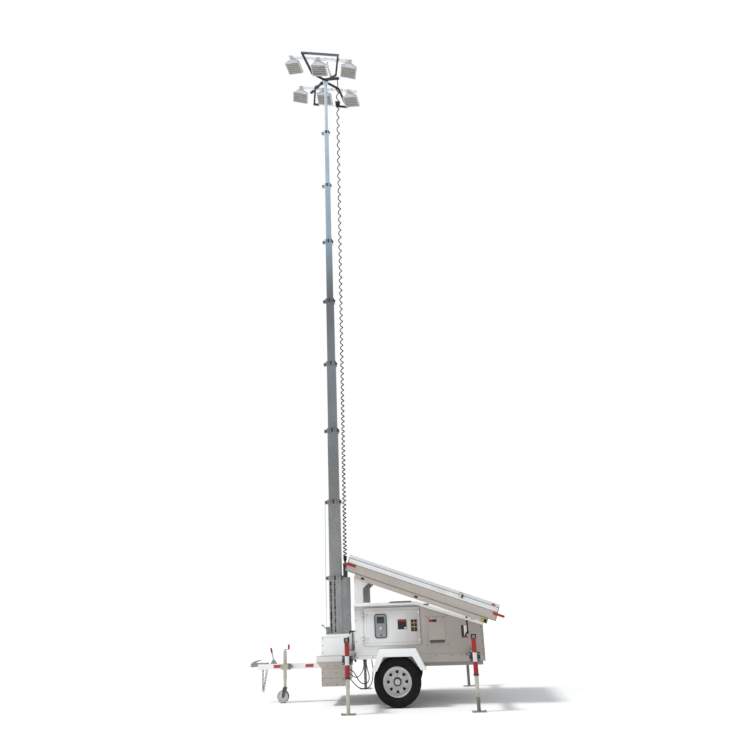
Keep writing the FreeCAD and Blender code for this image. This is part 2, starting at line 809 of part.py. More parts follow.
# Vent panels with a hooded slot, one each side
def make_vent(side):
    wall = side * housing_half_width
    hood_z0 = vent_z0 + vent_lap
    hood_z1 = hood_z0 + vent_hood_height
    plate = box(vent_x0, vent_x1, wall, wall + side * vent_plate, vent_z0, vent_z1)
    hood = box(vent_x0 + 10, vent_x1 - 10, wall, wall + side * vent_hood_depth, hood_z0, hood_z1)
    slot = box(vent_x0 + vent_lap, vent_x1 - vent_lap, wall - side, wall + side * (vent_hood_depth - 3),
               hood_z0 - vent_lap / 2, hood_z1 - 7)
    return plate.fuse(hood).cut(slot)


# Solar cassette, built level with its front lower corner at the origin, then tilted into place
def place_solar(shape):
    shape.rotate(V(0, 0, 0), V(0, 1, 0), solar_tilt)
    shape.translate(V(solar_x, 0, solar_z))
    return shape


tray_z = solar_beam_height
lower_drawer_z = tray_z + tray_thickness + ledge_height + slide_gap
upper_ledge_z = lower_drawer_z + lower_drawer_height + slide_gap
upper_drawer_z = upper_ledge_z + ledge_height + slide_gap
top_panel_z = upper_drawer_z + upper_drawer_height + 5.0
drawer_u0 = end_plate + 5.0
drawer_u1 = solar_length - end_plate - 5.0
cross_us = (solar_cross_front, solar_length / 2 - 15.0, solar_cross_rear)
slot_us = (solar_cross_front + solar_beam_width, solar_length / 2 - 55.0)
lever_inside = 15.0
lever_front_lap = 120.0
lever_rear_lap = 60.0


def make_solar_cassette():
    pieces = []
    for side in (-1, 1):
        pieces.append(box(solar_beam_front, solar_beam_rear, side * (solar_half_width - solar_beam_width),
                          side * solar_half_width, 0, solar_beam_height))
    for u in cross_us:
        pieces.append(box(u, u + solar_beam_width, -solar_half_width, solar_half_width, 0, solar_beam_height))
    pieces.append(box(0, solar_length, -solar_half_width, solar_half_width, tray_z, tray_z + tray_thickness))
    for u, inward in ((0.0, 1), (solar_length, -1)):
        pieces.append(box(u, u + inward * end_plate, -solar_half_width, solar_half_width, tray_z, top_panel_z))
        low = tray_z + tray_thickness
        pieces.append(box(u, u + inward * ledge_width, -solar_half_width, solar_half_width, low, low + ledge_height))
        pieces.append(box(u, u + inward * ledge_width, -solar_half_width, solar_half_width,
                          upper_ledge_z, upper_ledge_z + ledge_height))
    whole = fuse(pieces)
    slot_z = (solar_beam_height - slot_height) / 2
    for u in slot_us:
        for side in (-1, 1):
            slot = box(u, u + slot_length, side * (solar_half_width - 8), side * (solar_half_width + 1),
                       slot_z, slot_z + slot_height)
            whole = whole.cut(slot)
    return place_solar(whole)


def make_drawer(side):
    if side < 0:
        z0 = lower_drawer_z
        height = lower_drawer_height
    else:
        z0 = upper_drawer_z
        height = upper_drawer_height
    half = solar_half_width - 2
    border = panel_border
    slab = box(drawer_u0, drawer_u1, -half, half, z0, z0 + height)
    recess = box(drawer_u0 + border, drawer_u1 - border, -half + border, half - border,
                 z0 + height - glass_depth, z0 + height + 1)
    slab = slab.cut(recess)
    lever_z = z0 + height - border
    lever_in = side * (solar_half_width + slide_gap)
    lever_out = side * (solar_half_width + slide_gap + lever_thickness)
    pieces = [slab]
    for u0, u1 in ((-lever_front_reach, lever_front_lap),
                   (solar_length - lever_rear_lap, solar_length + lever_rear_reach)):
        pieces.append(box(u0, u1, lever_in, lever_out, lever_z, lever_z + lever_height))
    for u0, u1 in ((lever_inside, lever_front_lap), (solar_length - lever_rear_lap, solar_length - lever_inside)):
        pieces.append(box(u0, u1, side * half, lever_in, lever_z, lever_z + lever_height))
    return place_solar(fuse(pieces))


def make_top_panel():
    border = panel_border
    top = top_panel_z + top_panel_height
    slab = box(0, solar_length, -solar_half_width, solar_half_width, top_panel_z, top)
    recess = box(border, solar_length - border, -solar_half_width + border, solar_half_width - border,
                 top - glass_depth, top + 1)
    return place_solar(slab.cut(recess))


def solar_under(x):
    # Height of the cassette's underside at x
    return solar_z - (x - solar_x) * math.tan(math.radians(solar_tilt))


post_x1 = post_x0 + post_width
post_inset = 10.0
rear_foot_outer = 40.0


def make_solar_posts():
    pieces = []
    for side in (-1, 1):
        y1 = side * (housing_half_width - post_inset)
        y0 = side * (housing_half_width - post_inset - post_depth)
        gusset_x = post_x1 + post_gusset
        outline = [(post_x0, roof_z), (post_x1, roof_z), (post_x1, solar_under(post_x1) - post_gusset_drop),
                   (gusset_x, solar_under(gusset_x)), (post_x0, solar_under(post_x0))]
        post = prism_xz(outline, y0, y1)
        high = solar_under(post_x0) + 60
        hollow = box(post_x0 + post_wall, gusset_x + 1, y0 + side * post_wall, y1 - side * post_wall,
                     roof_z - 1, high)
        pieces.append(post.cut(hollow))
        x0 = rear_foot_x
        x1 = rear_foot_x + rear_foot_length
        foot_y1 = side * (housing_half_width - rear_foot_outer)
        foot_y0 = side * (housing_half_width - rear_foot_outer - rear_foot_width)
        pieces.append(prism_xz([(x0, roof_line(x0, 0)), (x1, roof_line(x1, 0)), (x1, solar_under(x1)),
                                (x0, solar_under(x0))], foot_y0, foot_y1))
    return pieces


# Outriggers: square beam that slides in its sleeve, flange and jack tube
jack_y = housing_half_width + outrigger_reach
outrigger_inner_y = housing_half_width - outrigger_lap
beam_size = sleeve_size - 2 * sleeve_wall - 2 * slide_gap
jack_bore = jack_radius - jack_wall
jack_upper_leg_radius = jack_bore - running_gap
jack_web_half = 30.0


def make_outrigger(x, side):
    half = beam_size / 2
    bore = half - outrigger_wall
    plate_y = jack_y - jack_radius - jack_flange_plate
    flange_half = jack_flange / 2
    low = outrigger_z - half - 15
    high = outrigger_z + half + 5
    beam = box(x - half, x + half, side * outrigger_inner_y, side * plate_y, outrigger_z - half, outrigger_z + half)
    beam = beam.cut(box(x - bore, x + bore, side * (outrigger_inner_y - 1), side * (plate_y - 10),
                        outrigger_z - bore, outrigger_z + bore))
    flange = box(x - flange_half, x + flange_half, side * plate_y, side * (plate_y + jack_flange_plate), low, high)
    cheeks = [box(x + s * jack_web_half, x + s * (jack_web_half + jack_cheek), side * plate_y, side * (jack_y + 14),
                  low + 7, high - 7) for s in (-1, 1)]
    tube = Part.makeCylinder(jack_radius, jack_high_z - jack_low_z, V(x, side * jack_y, jack_low_z))
    web = box(x - jack_web_half, x + jack_web_half, side * plate_y, side * jack_y, low + 15, high - 15)
    head_half = jack_radius + 3.5
    head = box(x - head_half, x + head_half, side * (jack_y - head_half), side * (jack_y + head_half),
               jack_high_z, jack_high_z + jack_head)
    collar = Part.makeCylinder(jack_radius + 5, 18, V(x, side * jack_y, jack_low_z))
    shaft_z = jack_high_z + jack_head / 2
    shaft = rod(V(x, side * (jack_y + head_half - 2), shaft_z), V(x, side * (jack_y + head_half + 14), shaft_z), 9)
    whole = fuse([beam, flange, tube, web, head, collar, shaft] + cheeks)
    bore_cut = Part.makeCylinder(jack_bore, jack_high_z - jack_low_z, V(x, side * jack_y, jack_low_z))
    return whole.cut(bore_cut)


def make_jack_leg(x, side):
    y = side * jack_y
    upper = Part.makeCylinder(jack_upper_leg_radius, jack_leg_lap, V(x, y, jack_leg_joint_z))
    lower = Part.makeCylinder(jack_leg_radius, jack_leg_joint_z, V(x, y, foot_thickness))
    half = foot_size / 2
    flat = half - foot_edge
    top = foot_rise + foot_thickness
    foot = prism_xz([(x - half, foot_rise), (x - flat, 0), (x + flat, 0), (x + half, foot_rise), (x + half, top),
                     (x + flat, foot_thickness), (x - flat, foot_thickness), (x - half, top)],
                    y - foot_width / 2, y + foot_width / 2)
    return fuse([upper, lower, foot])


# Mast sections
def section_size(i):
    return mast_base_size - mast_step * i


def section_top(i):
    return mast_base_top_z + section_exposed * i


bracket_reach_x = 44.0
bracket_cheek = 6.0
bolt_radius = 8.0
bolt_head = 8.0


def make_collar(i):
    # Collar at the top of section i, with a rope wheel in its bracket on the drawbar side
    size = section_size(i)
    top = section_top(i)
    half = size / 2 + collar_border
    low = top - collar_below
    high = top + collar_above
    mid = (low + high) / 2
    frame = box(mast_x - half, mast_x + half, -half, half, low, high)
    inner = size / 2 - mast_step / 2 + slide_gap
    frame = frame.cut(box(mast_x - inner, mast_x + inner, -inner, inner, low - 1, high + 1))
    bracket_x = mast_x - half
    wheel_x = bracket_x - bracket_reach_x + rope_wheel_radius
    wheel_half = rope_wheel_width / 2
    cheek_in = wheel_half + 5
    cheeks = [box(bracket_x - bracket_reach_x, bracket_x, s * cheek_in, s * (cheek_in + bracket_cheek),
                  low + 6, high - 6) for s in (-1, 1)]
    wheel = rod(V(wheel_x, -wheel_half, mid), V(wheel_x, wheel_half, mid), rope_wheel_radius)
    pin = rod(V(wheel_x, -20, mid), V(wheel_x, 20, mid), 6)
    bolts = [rod(V(mast_x + s * half * 0.6, -half - bolt_head, mid), V(mast_x + s * half * 0.6, -half, mid),
                 bolt_radius) for s in (-1, 1)]
    return [frame, wheel, pin] + cheeks + bolts


def make_section(i):
    size = section_size(i)
    top = section_top(i)
    bottom = top - section_length
    pieces = [square_tube(mast_x, 0, size, mast_wall, bottom, top)]
    if i < mast_sections - 1:
        pieces += make_collar(i)
    half = size / 2
    reach = half + mast_step / 2 - mast_wall - slide_gap
    side_y = half - pad_side_gap
    low = bottom + 2
    high = low + pad_height
    for s in (-1, 1):
        pieces.append(box(mast_x + s * half, mast_x + s * reach, -side_y, side_y, low, high))
        pieces.append(box(mast_x - side_y, mast_x + side_y, s * half, s * reach, low, high))
    return fuse(pieces)


# Mast base: foot tube, rear column and the cable box that the coiled cable stands on
column_x0 = mast_x + mast_base_size / 2
column_x1 = -330.0
column_half_width = 70.0
column_top_z = 1585.0
cable_box_height = 190.0
cable_box_half = 28.0
coil_low = V(-381.0, -64.0, column_top_z + cable_box_height)
mast_top_z = section_top(mast_sections - 1)
coil_high = V(-303.0, -64.0, mast_top_z)


def make_mast_base():
    base = square_tube(mast_x, 0, mast_base_size, mast_wall, mast_foot_z, mast_base_top_z)
    column = box(column_x0, column_x1, -column_half_width, column_half_width, upper_box_z, column_top_z)
    half = cable_box_half
    cable_box = box(coil_low.x - half, coil_low.x + half, coil_low.y - half, coil_low.y + half,
                    column_top_z, coil_low.z)
    return fuse([base, column, cable_box] + make_collar(0))


winch_drum_radius = 26.0
winch_cheek_height = 90.0
winch_half_width = 46.0


def make_winch():
    # Hand winch on the front box
    x = upper_box_x0 + 34
    low = upper_box_z
    drum_z = low + 55
    cheeks = [box(x - 26, x + 26, s * (winch_half_width - 6), s * winch_half_width, low, low + winch_cheek_height)
              for s in (-1, 1)]
    drum = rod(V(x, -winch_half_width + 6, drum_z), V(x, winch_half_width - 6, drum_z), winch_drum_radius)
    shaft = rod(V(x, -70, drum_z), V(x, 60, drum_z), 8)
    crank = square_bar(V(x, -70, drum_z - 5), V(x - 70, -70, drum_z + 65), crank_bar)
    handle = rod(V(x - 66, -130, drum_z + 61), V(x - 66, -64, drum_z + 61), 12)
    base = box(x - 30, x + 30, -winch_half_width - 4, winch_half_width + 4, low, low + 6)
    return fuse(cheeks + [drum, shaft, crank, handle, base])


# Lamp head: drawn in the plane of its frame with the hub at the origin, then leaned and set on the mast
head_frame_z = mast_top_z + head_rise
head_sleeve = 50.0
head_sleeve_wall = 8.0
head_block_half = 45.0
hub_half_x = 30.0
hub_half_y = 45.0
gland_plate = 12.0
gland_border = 6.0
coil_radius = 25.0
cable_arm_size = 50.0
cable_arm = ((-57.0, 41.0), (-339.0, 388.0))
cable_case = (86.0, 176.0, 600.0, 655.0, 45.0)
crossbar_low = head_bar / 2


def place_head(shape):
    shape.rotate(V(0, 0, 0), V(0, 1, 0), head_lean)
    shape.translate(V(mast_x, 0, head_frame_z))
    return shape


def make_head_frame():
    bars = []
    corner = head_outer_half + head_bar / 2
    for side in (-1, 1):
        outer_y = side * head_outer_y
        waist_y = side * head_waist_y
        bars.append(square_bar(V(-corner, outer_y, 0), V(corner, outer_y, 0), head_bar))
        for s in (-1, 1):
            bars.append(square_bar(V(s * head_outer_half, outer_y, 0), V(s * head_waist_half, waist_y, 0), head_bar))
            bars.append(square_bar(V(s * (head_waist_half + 12), waist_y, 0), V(s * (head_waist_half - 14), waist_y, 0),
                                   head_bar))
            bars.append(square_bar(V(s * head_waist_half, waist_y, 0), V(s * hub_half_x, side * hub_half_y, 0),
                                   head_bar))
    for y in (near_crossbar_y, far_crossbar_y):
        half = crossbar_size / 2
        bars.append(box(-crossbar_half, crossbar_half, y - half, y + half, crossbar_low, crossbar_low + crossbar_size))
    bars.append(box(-head_block_half, head_block_half, -hub_half_y - 15, hub_half_y + 15, -crossbar_low, crossbar_low))
    arm_z = crossbar_low + cable_arm_size / 2
    bars.append(square_bar(V(cable_arm[0][0], cable_arm[0][1], arm_z), V(cable_arm[1][0], cable_arm[1][1], arm_z),
                           cable_arm_size))
    case_x0, case_x1, case_y0, case_y1, case_height = cable_case
    bars.append(box(case_x0, case_x1, case_y0, case_y1, crossbar_low, crossbar_low + case_height))
    bars.append(box(case_x0, case_x1, head_outer_y - head_bar / 2, case_y0 + 30, crossbar_low - 20, crossbar_low + 2))
    leaned = place_head(fuse(bars))
    half = section_size(mast_sections - 1) / 2
    outer = half + head_sleeve_wall
    sleeve = box(mast_x - outer, mast_x + outer, -outer, outer, mast_top_z - head_sleeve, mast_top_z + 1)
    sleeve = sleeve.cut(box(mast_x - half, mast_x + half, -half, half, mast_top_z - head_sleeve - 1, mast_top_z))
    block = box(mast_x - head_block_half, mast_x + head_block_half, -head_block_half, head_block_half,
                mast_top_z, head_frame_z)
    reach = coil_radius + gland_border
    gland = box(mast_x, coil_high.x + reach, coil_high.y - reach, coil_high.y + reach,
                mast_top_z, mast_top_z + gland_plate)
    return fuse([leaned, sleeve, block, gland])


# Lamps hang by a lug from a clevis on the crossbar
lamp_rows = [
    # name, crossbar y, offset along the crossbar, yaw in degrees
    ("lamp_near_left", near_crossbar_y, -547.0, -15.6),
    ("lamp_near_middle", near_crossbar_y, -64.0, -4.3),
    ("lamp_near_right", near_crossbar_y, 499.0, 8.7),
    ("lamp_far_left", far_crossbar_y, -502.0, 7.5),
    ("lamp_far_middle", far_crossbar_y, -75.0, -3.3),
    ("lamp_far_right", far_crossbar_y, 395.0, -12.8),
]
lamp_half = lamp_width / 2
lug_half = lamp_lug_width / 2
neck_start = 22.0
neck_front = 9.0
neck_back = 4.0
lamp_corner = 10.0
lamp_rim = 16.0
glass_recess = 5.0
fin_plate = 4.0
driver_half = 50.0


def place_lamp(shape, row):
    name, bar_y, offset, yaw = row
    shape.rotate(V(0, 0, 0), V(0, 0, 1), yaw)
    shape.translate(V(offset, bar_y - lamp_pivot_reach, lamp_pivot_rise))
    return shape


def make_yoke(row):
    bar_y = row[1]
    face = bar_y - crossbar_size / 2
    inner = lug_half + slide_gap
    outer = inner + clevis_plate
    high = crossbar_low + crossbar_size - lamp_pivot_rise
    outline = [(-lamp_lug_radius, -lamp_lug_radius), (lamp_lug_radius, -lamp_lug_radius), (22, 0), (22, high),
               (2, high), (-lamp_lug_radius, lamp_lug_radius)]
    pieces = []
    for s in (-1, 1):
        corners = [V(s * inner, y, z) for y, z in outline]
        cheek = Part.Face(Part.makePolygon(corners + [corners[0]])).extrude(V(s * clevis_plate, 0, 0))
        pieces.append(cheek)
    pieces.append(rod(V(-outer - 4, 0, 0), V(outer + 4, 0, 0), lamp_pivot_radius))
    clevis = place_lamp(fuse(pieces), row)
    beyond = box(row[2] - 100, row[2] + 100, face, face + 100, -100, 100)
    clevis = clevis.cut(beyond)
    plate = box(row[2] - outer - 8, row[2] + outer + 8, face - clevis_plate, face,
                crossbar_low + 9, crossbar_low + crossbar_size)
    return place_head(fuse([clevis, plate]))


def make_lamp(row):
    low = -lamp_height
    outline = [(-30, -neck_start), (30, -neck_start), (lamp_half, -lamp_neck), (lamp_half, low + lamp_corner),
               (lamp_half - lamp_corner, low), (-lamp_half + lamp_corner, low), (-lamp_half, low + lamp_corner),
               (-lamp_half, -lamp_neck)]
    body = prism_xz(outline, -lamp_front, 0)
    glass = box(-lamp_half + lamp_rim, lamp_half - lamp_rim, -lamp_front - 1, -lamp_front + glass_recess,
                low + lamp_rim, -lamp_neck - lamp_rim)
    body = body.cut(glass)
    neck = box(-lug_half, lug_half, -neck_front, neck_back, -neck_start - 2, 0)
    lug = rod(V(-lug_half, 0, 0), V(lug_half, 0, 0), lamp_lug_radius)
    fins = []
    for k in range(-5, 6):
        x = k * lamp_fin
        fins.append(box(x - fin_plate / 2, x + fin_plate / 2, -1, lamp_back, low + 20, -lamp_neck - 15))
    driver = box(-driver_half, driver_half, -1, lamp_back + 6, low + 60, low + 160)
    whole = fuse([body, neck, lug, driver] + fins)
    whole = whole.cut(rod(V(-lug_half - 1, 0, 0), V(lug_half + 1, 0, 0), lamp_pivot_radius + running_gap))
    whole.rotate(V(0, 0, 0), V(1, 0, 0), lamp_tilt)
    return place_head(place_lamp(whole, row))


# Coiled mast cable as one plain tube of its outer diameter, leaning from its box to the gland
def make_coil_cord():
    foot = Part.Face(Part.Wire(Part.makeCircle(coil_radius, coil_low, V(0, 0, 1))))
    return foot.extrude(coil_high - coil_low)


# Hose that hangs in a loop from the lower front box to the chassis beam
hose_radius = 4.75
hose_y = -340.0
hose_points = [
    # x, z
    (lower_box_x1, 425.0),
    (-325.0, 425.0),
    (-275.0, 392.0),
    (-240.0, 338.0),
    (-212.0, 282.0),
    (-168.0, 243.0),
    (-110.0, 237.0),
    (-72.0, 282.0),
    (-70.0, 343.0),
    (-87.0, 400.0),
    (-99.0, 458.0),
    (-104.0, 508.0),
    (-104.0, beam_low_z),
]


def rounded_path(points):
    # Straight runs with an arc at each inner point that touches both runs
    edges = []
    start = points[0]
    for i in range(1, len(points) - 1):
        before = points[i - 1] - points[i]
        after = points[i + 1] - points[i]
        turn = math.pi - before.getAngle(after)
        shorter = min(before.Length, after.Length)
        cut = 0.45 * shorter
        radius = cut / math.tan(turn / 2)
        print("hose bend", i, "radius", round(radius, 1))
        before.normalize()
        after.normalize()
        arc_start = points[i] + before * cut
        arc_end = points[i] + after * cut
        inward = before + after
        inward.normalize()
        centre = points[i] + inward * (radius / math.cos(turn / 2))
        arc_mid = centre - inward * radius
        edges.append(Part.LineSegment(start, arc_start).toShape())
        edges.append(Part.Arc(arc_start, arc_mid, arc_end).toShape())
        start = arc_end
    edges.append(Part.LineSegment(start, points[-1]).toShape())
    return Part.Wire(edges)


def make_hose():
    points = [V(x, hose_y, z) for x, z in hose_points]
    path = rounded_path(points)
    section = Part.Wire(Part.makeCircle(hose_radius, points[0], points[1] - points[0]))
    tube = path.makePipeShell([section], True, False)
    print("hose volume", round(tube.Volume), "section times length",
          round(math.pi * hose_radius ** 2 * path.Length), "length", round(path.Length))
    return tube


# Everything is written in one place
write("drawbar", make_drawbar())
write("coupling", make_coupling())
write("brake_lever", make_brake_lever())
write_group("safety_chains", make_chains())
write("jockey_tube", make_jockey_tube())
write("jockey_leg", make_jockey_leg())
write("jockey_fork", make_jockey_fork())
write("jockey_wheel", make_jockey_wheel())
write("chassis", make_chassis())
write("axle", make_axle())
write_group("fenders", [make_fender(-1), make_fender(1)])
for wheel_name, wheel_side in (("near", -1), ("far", 1)):
    write("rim_" + wheel_name, make_rim(wheel_side))
    write("tyre_" + wheel_name, make_tyre(wheel_side))
write("front_box_lower", make_front_box_lower())
write("front_box_upper", make_front_box_upper())
write("housing_side_near", make_housing_side(-1))
write("housing_side_far", make_housing_side(1))
write_group("housing_ends", make_housing_ends())
write("housing_floor", make_housing_floor())
write("housing_roof", make_housing_roof())
write("battery_block", make_battery_block())
write("door_near", make_door(-1))
write("door_far", make_door(1))
write("controller", make_controller())
write_group("vent_panels", [make_vent(-1), make_vent(1)])
write_group("solar_posts", make_solar_posts())
write("solar_cassette", make_solar_cassette())
write("solar_top_panel", make_top_panel())
write("solar_drawer_near", make_drawer(-1))
write("solar_drawer_far", make_drawer(1))
for end, end_x in outrigger_xs.items():
    for side_name, side_sign in (("near", -1), ("far", 1)):
        write("outrigger_" + end + "_" + side_name, make_outrigger(end_x, side_sign))
        write("jack_leg_" + end + "_" + side_name, make_jack_leg(end_x, side_sign))
write("mast_base", make_mast_base())
write("mast_winch", make_winch())
for number in range(1, mast_sections):
    write("mast_section_" + str(number + 1), make_section(number))
write("lamp_head_frame", make_head_frame())
write_group("lamp_yokes", [make_yoke(row) for row in lamp_rows])
for lamp_row in lamp_rows:
    write(lamp_row[0], make_lamp(lamp_row))
write("coil_cord", make_coil_cord())
write("hose_long", make_hose())
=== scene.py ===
# %% [markdown]
# # A towed light tower, dressed for its portrait
# The construction is already fixed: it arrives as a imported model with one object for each
# real piece, and this lesson never moves any of them. What is left is what the eye wants:
# paint, galvanised steel, rubber, glass, screws, cables and the light they stand in.

# %% Start
import json
import math

import bmesh
import bpy
from mathutils import Matrix, Vector


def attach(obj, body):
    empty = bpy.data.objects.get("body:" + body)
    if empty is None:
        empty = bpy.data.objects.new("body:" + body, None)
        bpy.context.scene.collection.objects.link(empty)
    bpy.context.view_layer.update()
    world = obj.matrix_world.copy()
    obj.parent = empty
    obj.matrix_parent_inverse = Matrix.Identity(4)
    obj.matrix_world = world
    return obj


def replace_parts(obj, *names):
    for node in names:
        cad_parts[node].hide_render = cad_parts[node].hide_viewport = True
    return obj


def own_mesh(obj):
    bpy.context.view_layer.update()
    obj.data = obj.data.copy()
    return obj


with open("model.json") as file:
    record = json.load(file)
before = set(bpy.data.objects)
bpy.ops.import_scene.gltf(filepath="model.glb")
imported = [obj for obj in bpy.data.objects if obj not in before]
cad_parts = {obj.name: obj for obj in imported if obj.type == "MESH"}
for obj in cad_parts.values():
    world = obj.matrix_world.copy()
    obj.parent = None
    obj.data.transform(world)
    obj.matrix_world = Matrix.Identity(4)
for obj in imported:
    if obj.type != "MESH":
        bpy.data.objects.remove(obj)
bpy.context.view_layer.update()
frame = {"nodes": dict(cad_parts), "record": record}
nodes = frame["nodes"]

# %% [markdown]
# ## The camera comes first
# The photograph looks up at a ten-metre mast from about ten metres away, with the horizon
# a little tilted. The camera stands at eye height and turns by three plain angles. Its
# three axes go straight into a matrix, so no chain of rotations has to be guessed.

# %% Camera
CAMERA_AT = Vector((0.8103, -10.2438, 1.3753))
CAMERA_YAW = -0.0792
CAMERA_PITCH = 0.3144
CAMERA_ROLL = -0.0366
LENS_MM = 34.43
SENSOR_MM = 36.0


def aim_camera():
    forward = Vector((math.sin(CAMERA_YAW) * math.cos(CAMERA_PITCH),
                      math.cos(CAMERA_YAW) * math.cos(CAMERA_PITCH),
                      math.sin(CAMERA_PITCH)))
    level = Vector((math.cos(CAMERA_YAW), -math.sin(CAMERA_YAW), 0.0))
    upright = level.cross(forward)
    right = level * math.cos(CAMERA_ROLL) + upright * math.sin(CAMERA_ROLL)
    up = upright * math.cos(CAMERA_ROLL) - level * math.sin(CAMERA_ROLL)
    turn = Matrix((right, up, -forward)).transposed()
    data = bpy.data.cameras.new("camera")
    data.lens = LENS_MM
    data.sensor_width = SENSOR_MM
    data.sensor_fit = "HORIZONTAL"
    data.clip_end = 200.0
    camera = bpy.data.objects.new("camera", data)
    bpy.context.scene.collection.objects.link(camera)
    camera.matrix_world = Matrix.Translation(CAMERA_AT) @ turn.to_4x4()
    bpy.context.scene.camera = camera


aim_camera()
print("camera height", CAMERA_AT.z, "m, lens", LENS_MM, "mm")

# %% [markdown]
# ## Floor and light
# A studio for something this tall is a pale floor under an even sky. The sky lights the
# object softly, and a broad sun stands high over the drawbar end, so the near side is in
# its own shade and lives from the light of the floor. Camera rays see plain white instead
# of the sky, so the light stays modest.

# %% Stage
SKY_LIGHT = 0.62
SUN_LIGHT = 2.1
SUN_FROM = Vector((-0.62, -0.12, 1.0))
FLOOR_HALF = 60.0
FLOOR_TONE = 0.955


def link(obj):
    bpy.context.scene.collection.objects.link(obj)
    return obj


def set_inputs(node, values):
    for name, value in values.items():
        node.inputs[name].default_value = value


def build_world():
    world = bpy.data.worlds.new("studio")
    bpy.context.scene.world = world
    world.use_nodes = True
    tree = world.node_tree
    tree.nodes.clear()
    out = tree.nodes.new("ShaderNodeOutputWorld")
    mix = tree.nodes.new("ShaderNodeMixShader")
    sky = tree.nodes.new("ShaderNodeBackground")
    set_inputs(sky, {"Color": (0.94, 0.97, 1.0, 1.0), "Strength": SKY_LIGHT})
    white = tree.nodes.new("ShaderNodeBackground")
    set_inputs(white, {"Color": (1.0, 1.0, 1.0, 1.0), "Strength": 1.0})
    path = tree.nodes.new("ShaderNodeLightPath")
    seen = tree.nodes.new("ShaderNodeMath")
    seen.operation = "MAXIMUM"
    tree.links.new(path.outputs["Is Camera Ray"], seen.inputs[0])
    tree.links.new(path.outputs["Is Transmission Ray"], seen.inputs[1])
    tree.links.new(seen.outputs[0], mix.inputs[0])
    tree.links.new(sky.outputs[0], mix.inputs[1])
    tree.links.new(white.outputs[0], mix.inputs[2])
    tree.links.new(mix.outputs[0], out.inputs["Surface"])


def build_sun():
    data = bpy.data.lights.new("sun", "SUN")
    data.energy = SUN_LIGHT
    data.angle = math.radians(12.0)
    sun = link(bpy.data.objects.new("sun", data))
    sun.rotation_euler = SUN_FROM.to_track_quat("Z", "Y").to_euler()


def build_floor():
    mesh = bpy.data.meshes.new("floor")
    h = FLOOR_HALF
    mesh.from_pydata([(-h, -h, 0), (h, -h, 0), (h, h, 0), (-h, h, 0)], [], [(0, 1, 2, 3)])
    floor = link(bpy.data.objects.new("floor", mesh))
    material = bpy.data.materials.new("floor_pale")
    material.use_nodes = True
    shader = material.node_tree.nodes["Principled BSDF"]
    set_inputs(shader, {"Base Color": (FLOOR_TONE, FLOOR_TONE, FLOOR_TONE, 1.0), "Roughness": 0.95})
    mesh.materials.append(material)


build_world()
build_sun()
build_floor()
bpy.context.scene.view_settings.view_transform = "Standard"
print("sky", SKY_LIGHT, "sun", SUN_LIGHT)

# %% [markdown]
# ## A small kit for finishes
# Every finish here is a colour that wanders a little, a roughness that wanders with it,
# and a fine relief. One function builds that from a few plain numbers, and the special
# finishes add their own nodes on top. All patterns read Object coordinates, which are
# metres on this model, so a scale of 100 means a grain of a centimetre.

# %% Finish kit
def new_material(name):
    material = bpy.data.materials.new(name)
    material.use_nodes = True
    tree = material.node_tree
    place = tree.nodes.new("ShaderNodeTexCoord").outputs["Object"]
    return material, tree, tree.nodes["Principled BSDF"], place


def noise(tree, source, scale, detail=3.0, rough=0.5):
    node = tree.nodes.new("ShaderNodeTexNoise")
    set_inputs(node, {"Scale": scale, "Detail": detail, "Roughness": rough})
    tree.links.new(source, node.inputs["Vector"])
    return node.outputs["Fac"]


def ramp(tree, source, stops):
    node = tree.nodes.new("ShaderNodeValToRGB")
    elements = node.color_ramp.elements
    while len(elements) < len(stops):
        elements.new(0.5)
    for element, (place, color) in zip(elements, stops):
        element.position = place
        element.color = (*color, 1.0)
    tree.links.new(source, node.inputs["Fac"])
    return node.outputs["Color"]


def blend_color(tree, factor, first, second, mode="MIX"):
    node = tree.nodes.new("ShaderNodeMix")
    node.data_type = "RGBA"
    node.blend_type = mode
    for value, socket in ((factor, node.inputs[0]), (first, node.inputs[6]), (second, node.inputs[7])):
        if isinstance(value, (int, float)):
            socket.default_value = value
        elif isinstance(value, tuple):
            socket.default_value = (*value, 1.0)
        else:
            tree.links.new(value, socket)
    return node.outputs[2]


def calculate(tree, operation, first, second):
    node = tree.nodes.new("ShaderNodeMath")
    node.operation = operation
    for value, socket in zip((first, second), node.inputs):
        if isinstance(value, (int, float)):
            socket.default_value = value
        else:
            tree.links.new(value, socket)
    return node.outputs[0]


def spread(tree, source, low, high, out_low, out_high):
    node = tree.nodes.new("ShaderNodeMapRange")
    set_inputs(node, {"From Min": low, "From Max": high, "To Min": out_low, "To Max": out_high})
    tree.links.new(source, node.inputs["Value"])
    return node.outputs["Result"]


def relief(tree, shader, height, strength, distance):
    bump = tree.nodes.new("ShaderNodeBump")
    set_inputs(bump, {"Strength": strength, "Distance": distance})
    tree.links.new(height, bump.inputs["Height"])
    tree.links.new(bump.outputs["Normal"], shader.inputs["Normal"])


def set_roughness(tree, shader, source, low, high, smooth, rough):
    tree.links.new(spread(tree, source, low, high, smooth, rough), shader.inputs["Roughness"])


def axis_of(tree, source, axis):
    node = tree.nodes.new("ShaderNodeSeparateXYZ")
    tree.links.new(source, node.inputs[0])
    return node.outputs[axis]


def facets(tree, place, scale):
    # One random value for each cell of a Voronoi pattern
    cells = tree.nodes.new("ShaderNodeTexVoronoi")
    cells.inputs["Scale"].default_value = scale
    tree.links.new(place, cells.inputs["Vector"])
    return axis_of(tree, cells.outputs["Color"], "X")


def shade(color, amount):
    return tuple(max(0.0, min(1.0, c * amount)) for c in color)


# %% [markdown]
# ## Painted steel
# The body is white powder coat: nearly even, a touch greyer in patches, with a very fine
# orange peel and road dust that gathers low down. The same recipe with other numbers
# makes the cream layers, the black frame and the red parts.

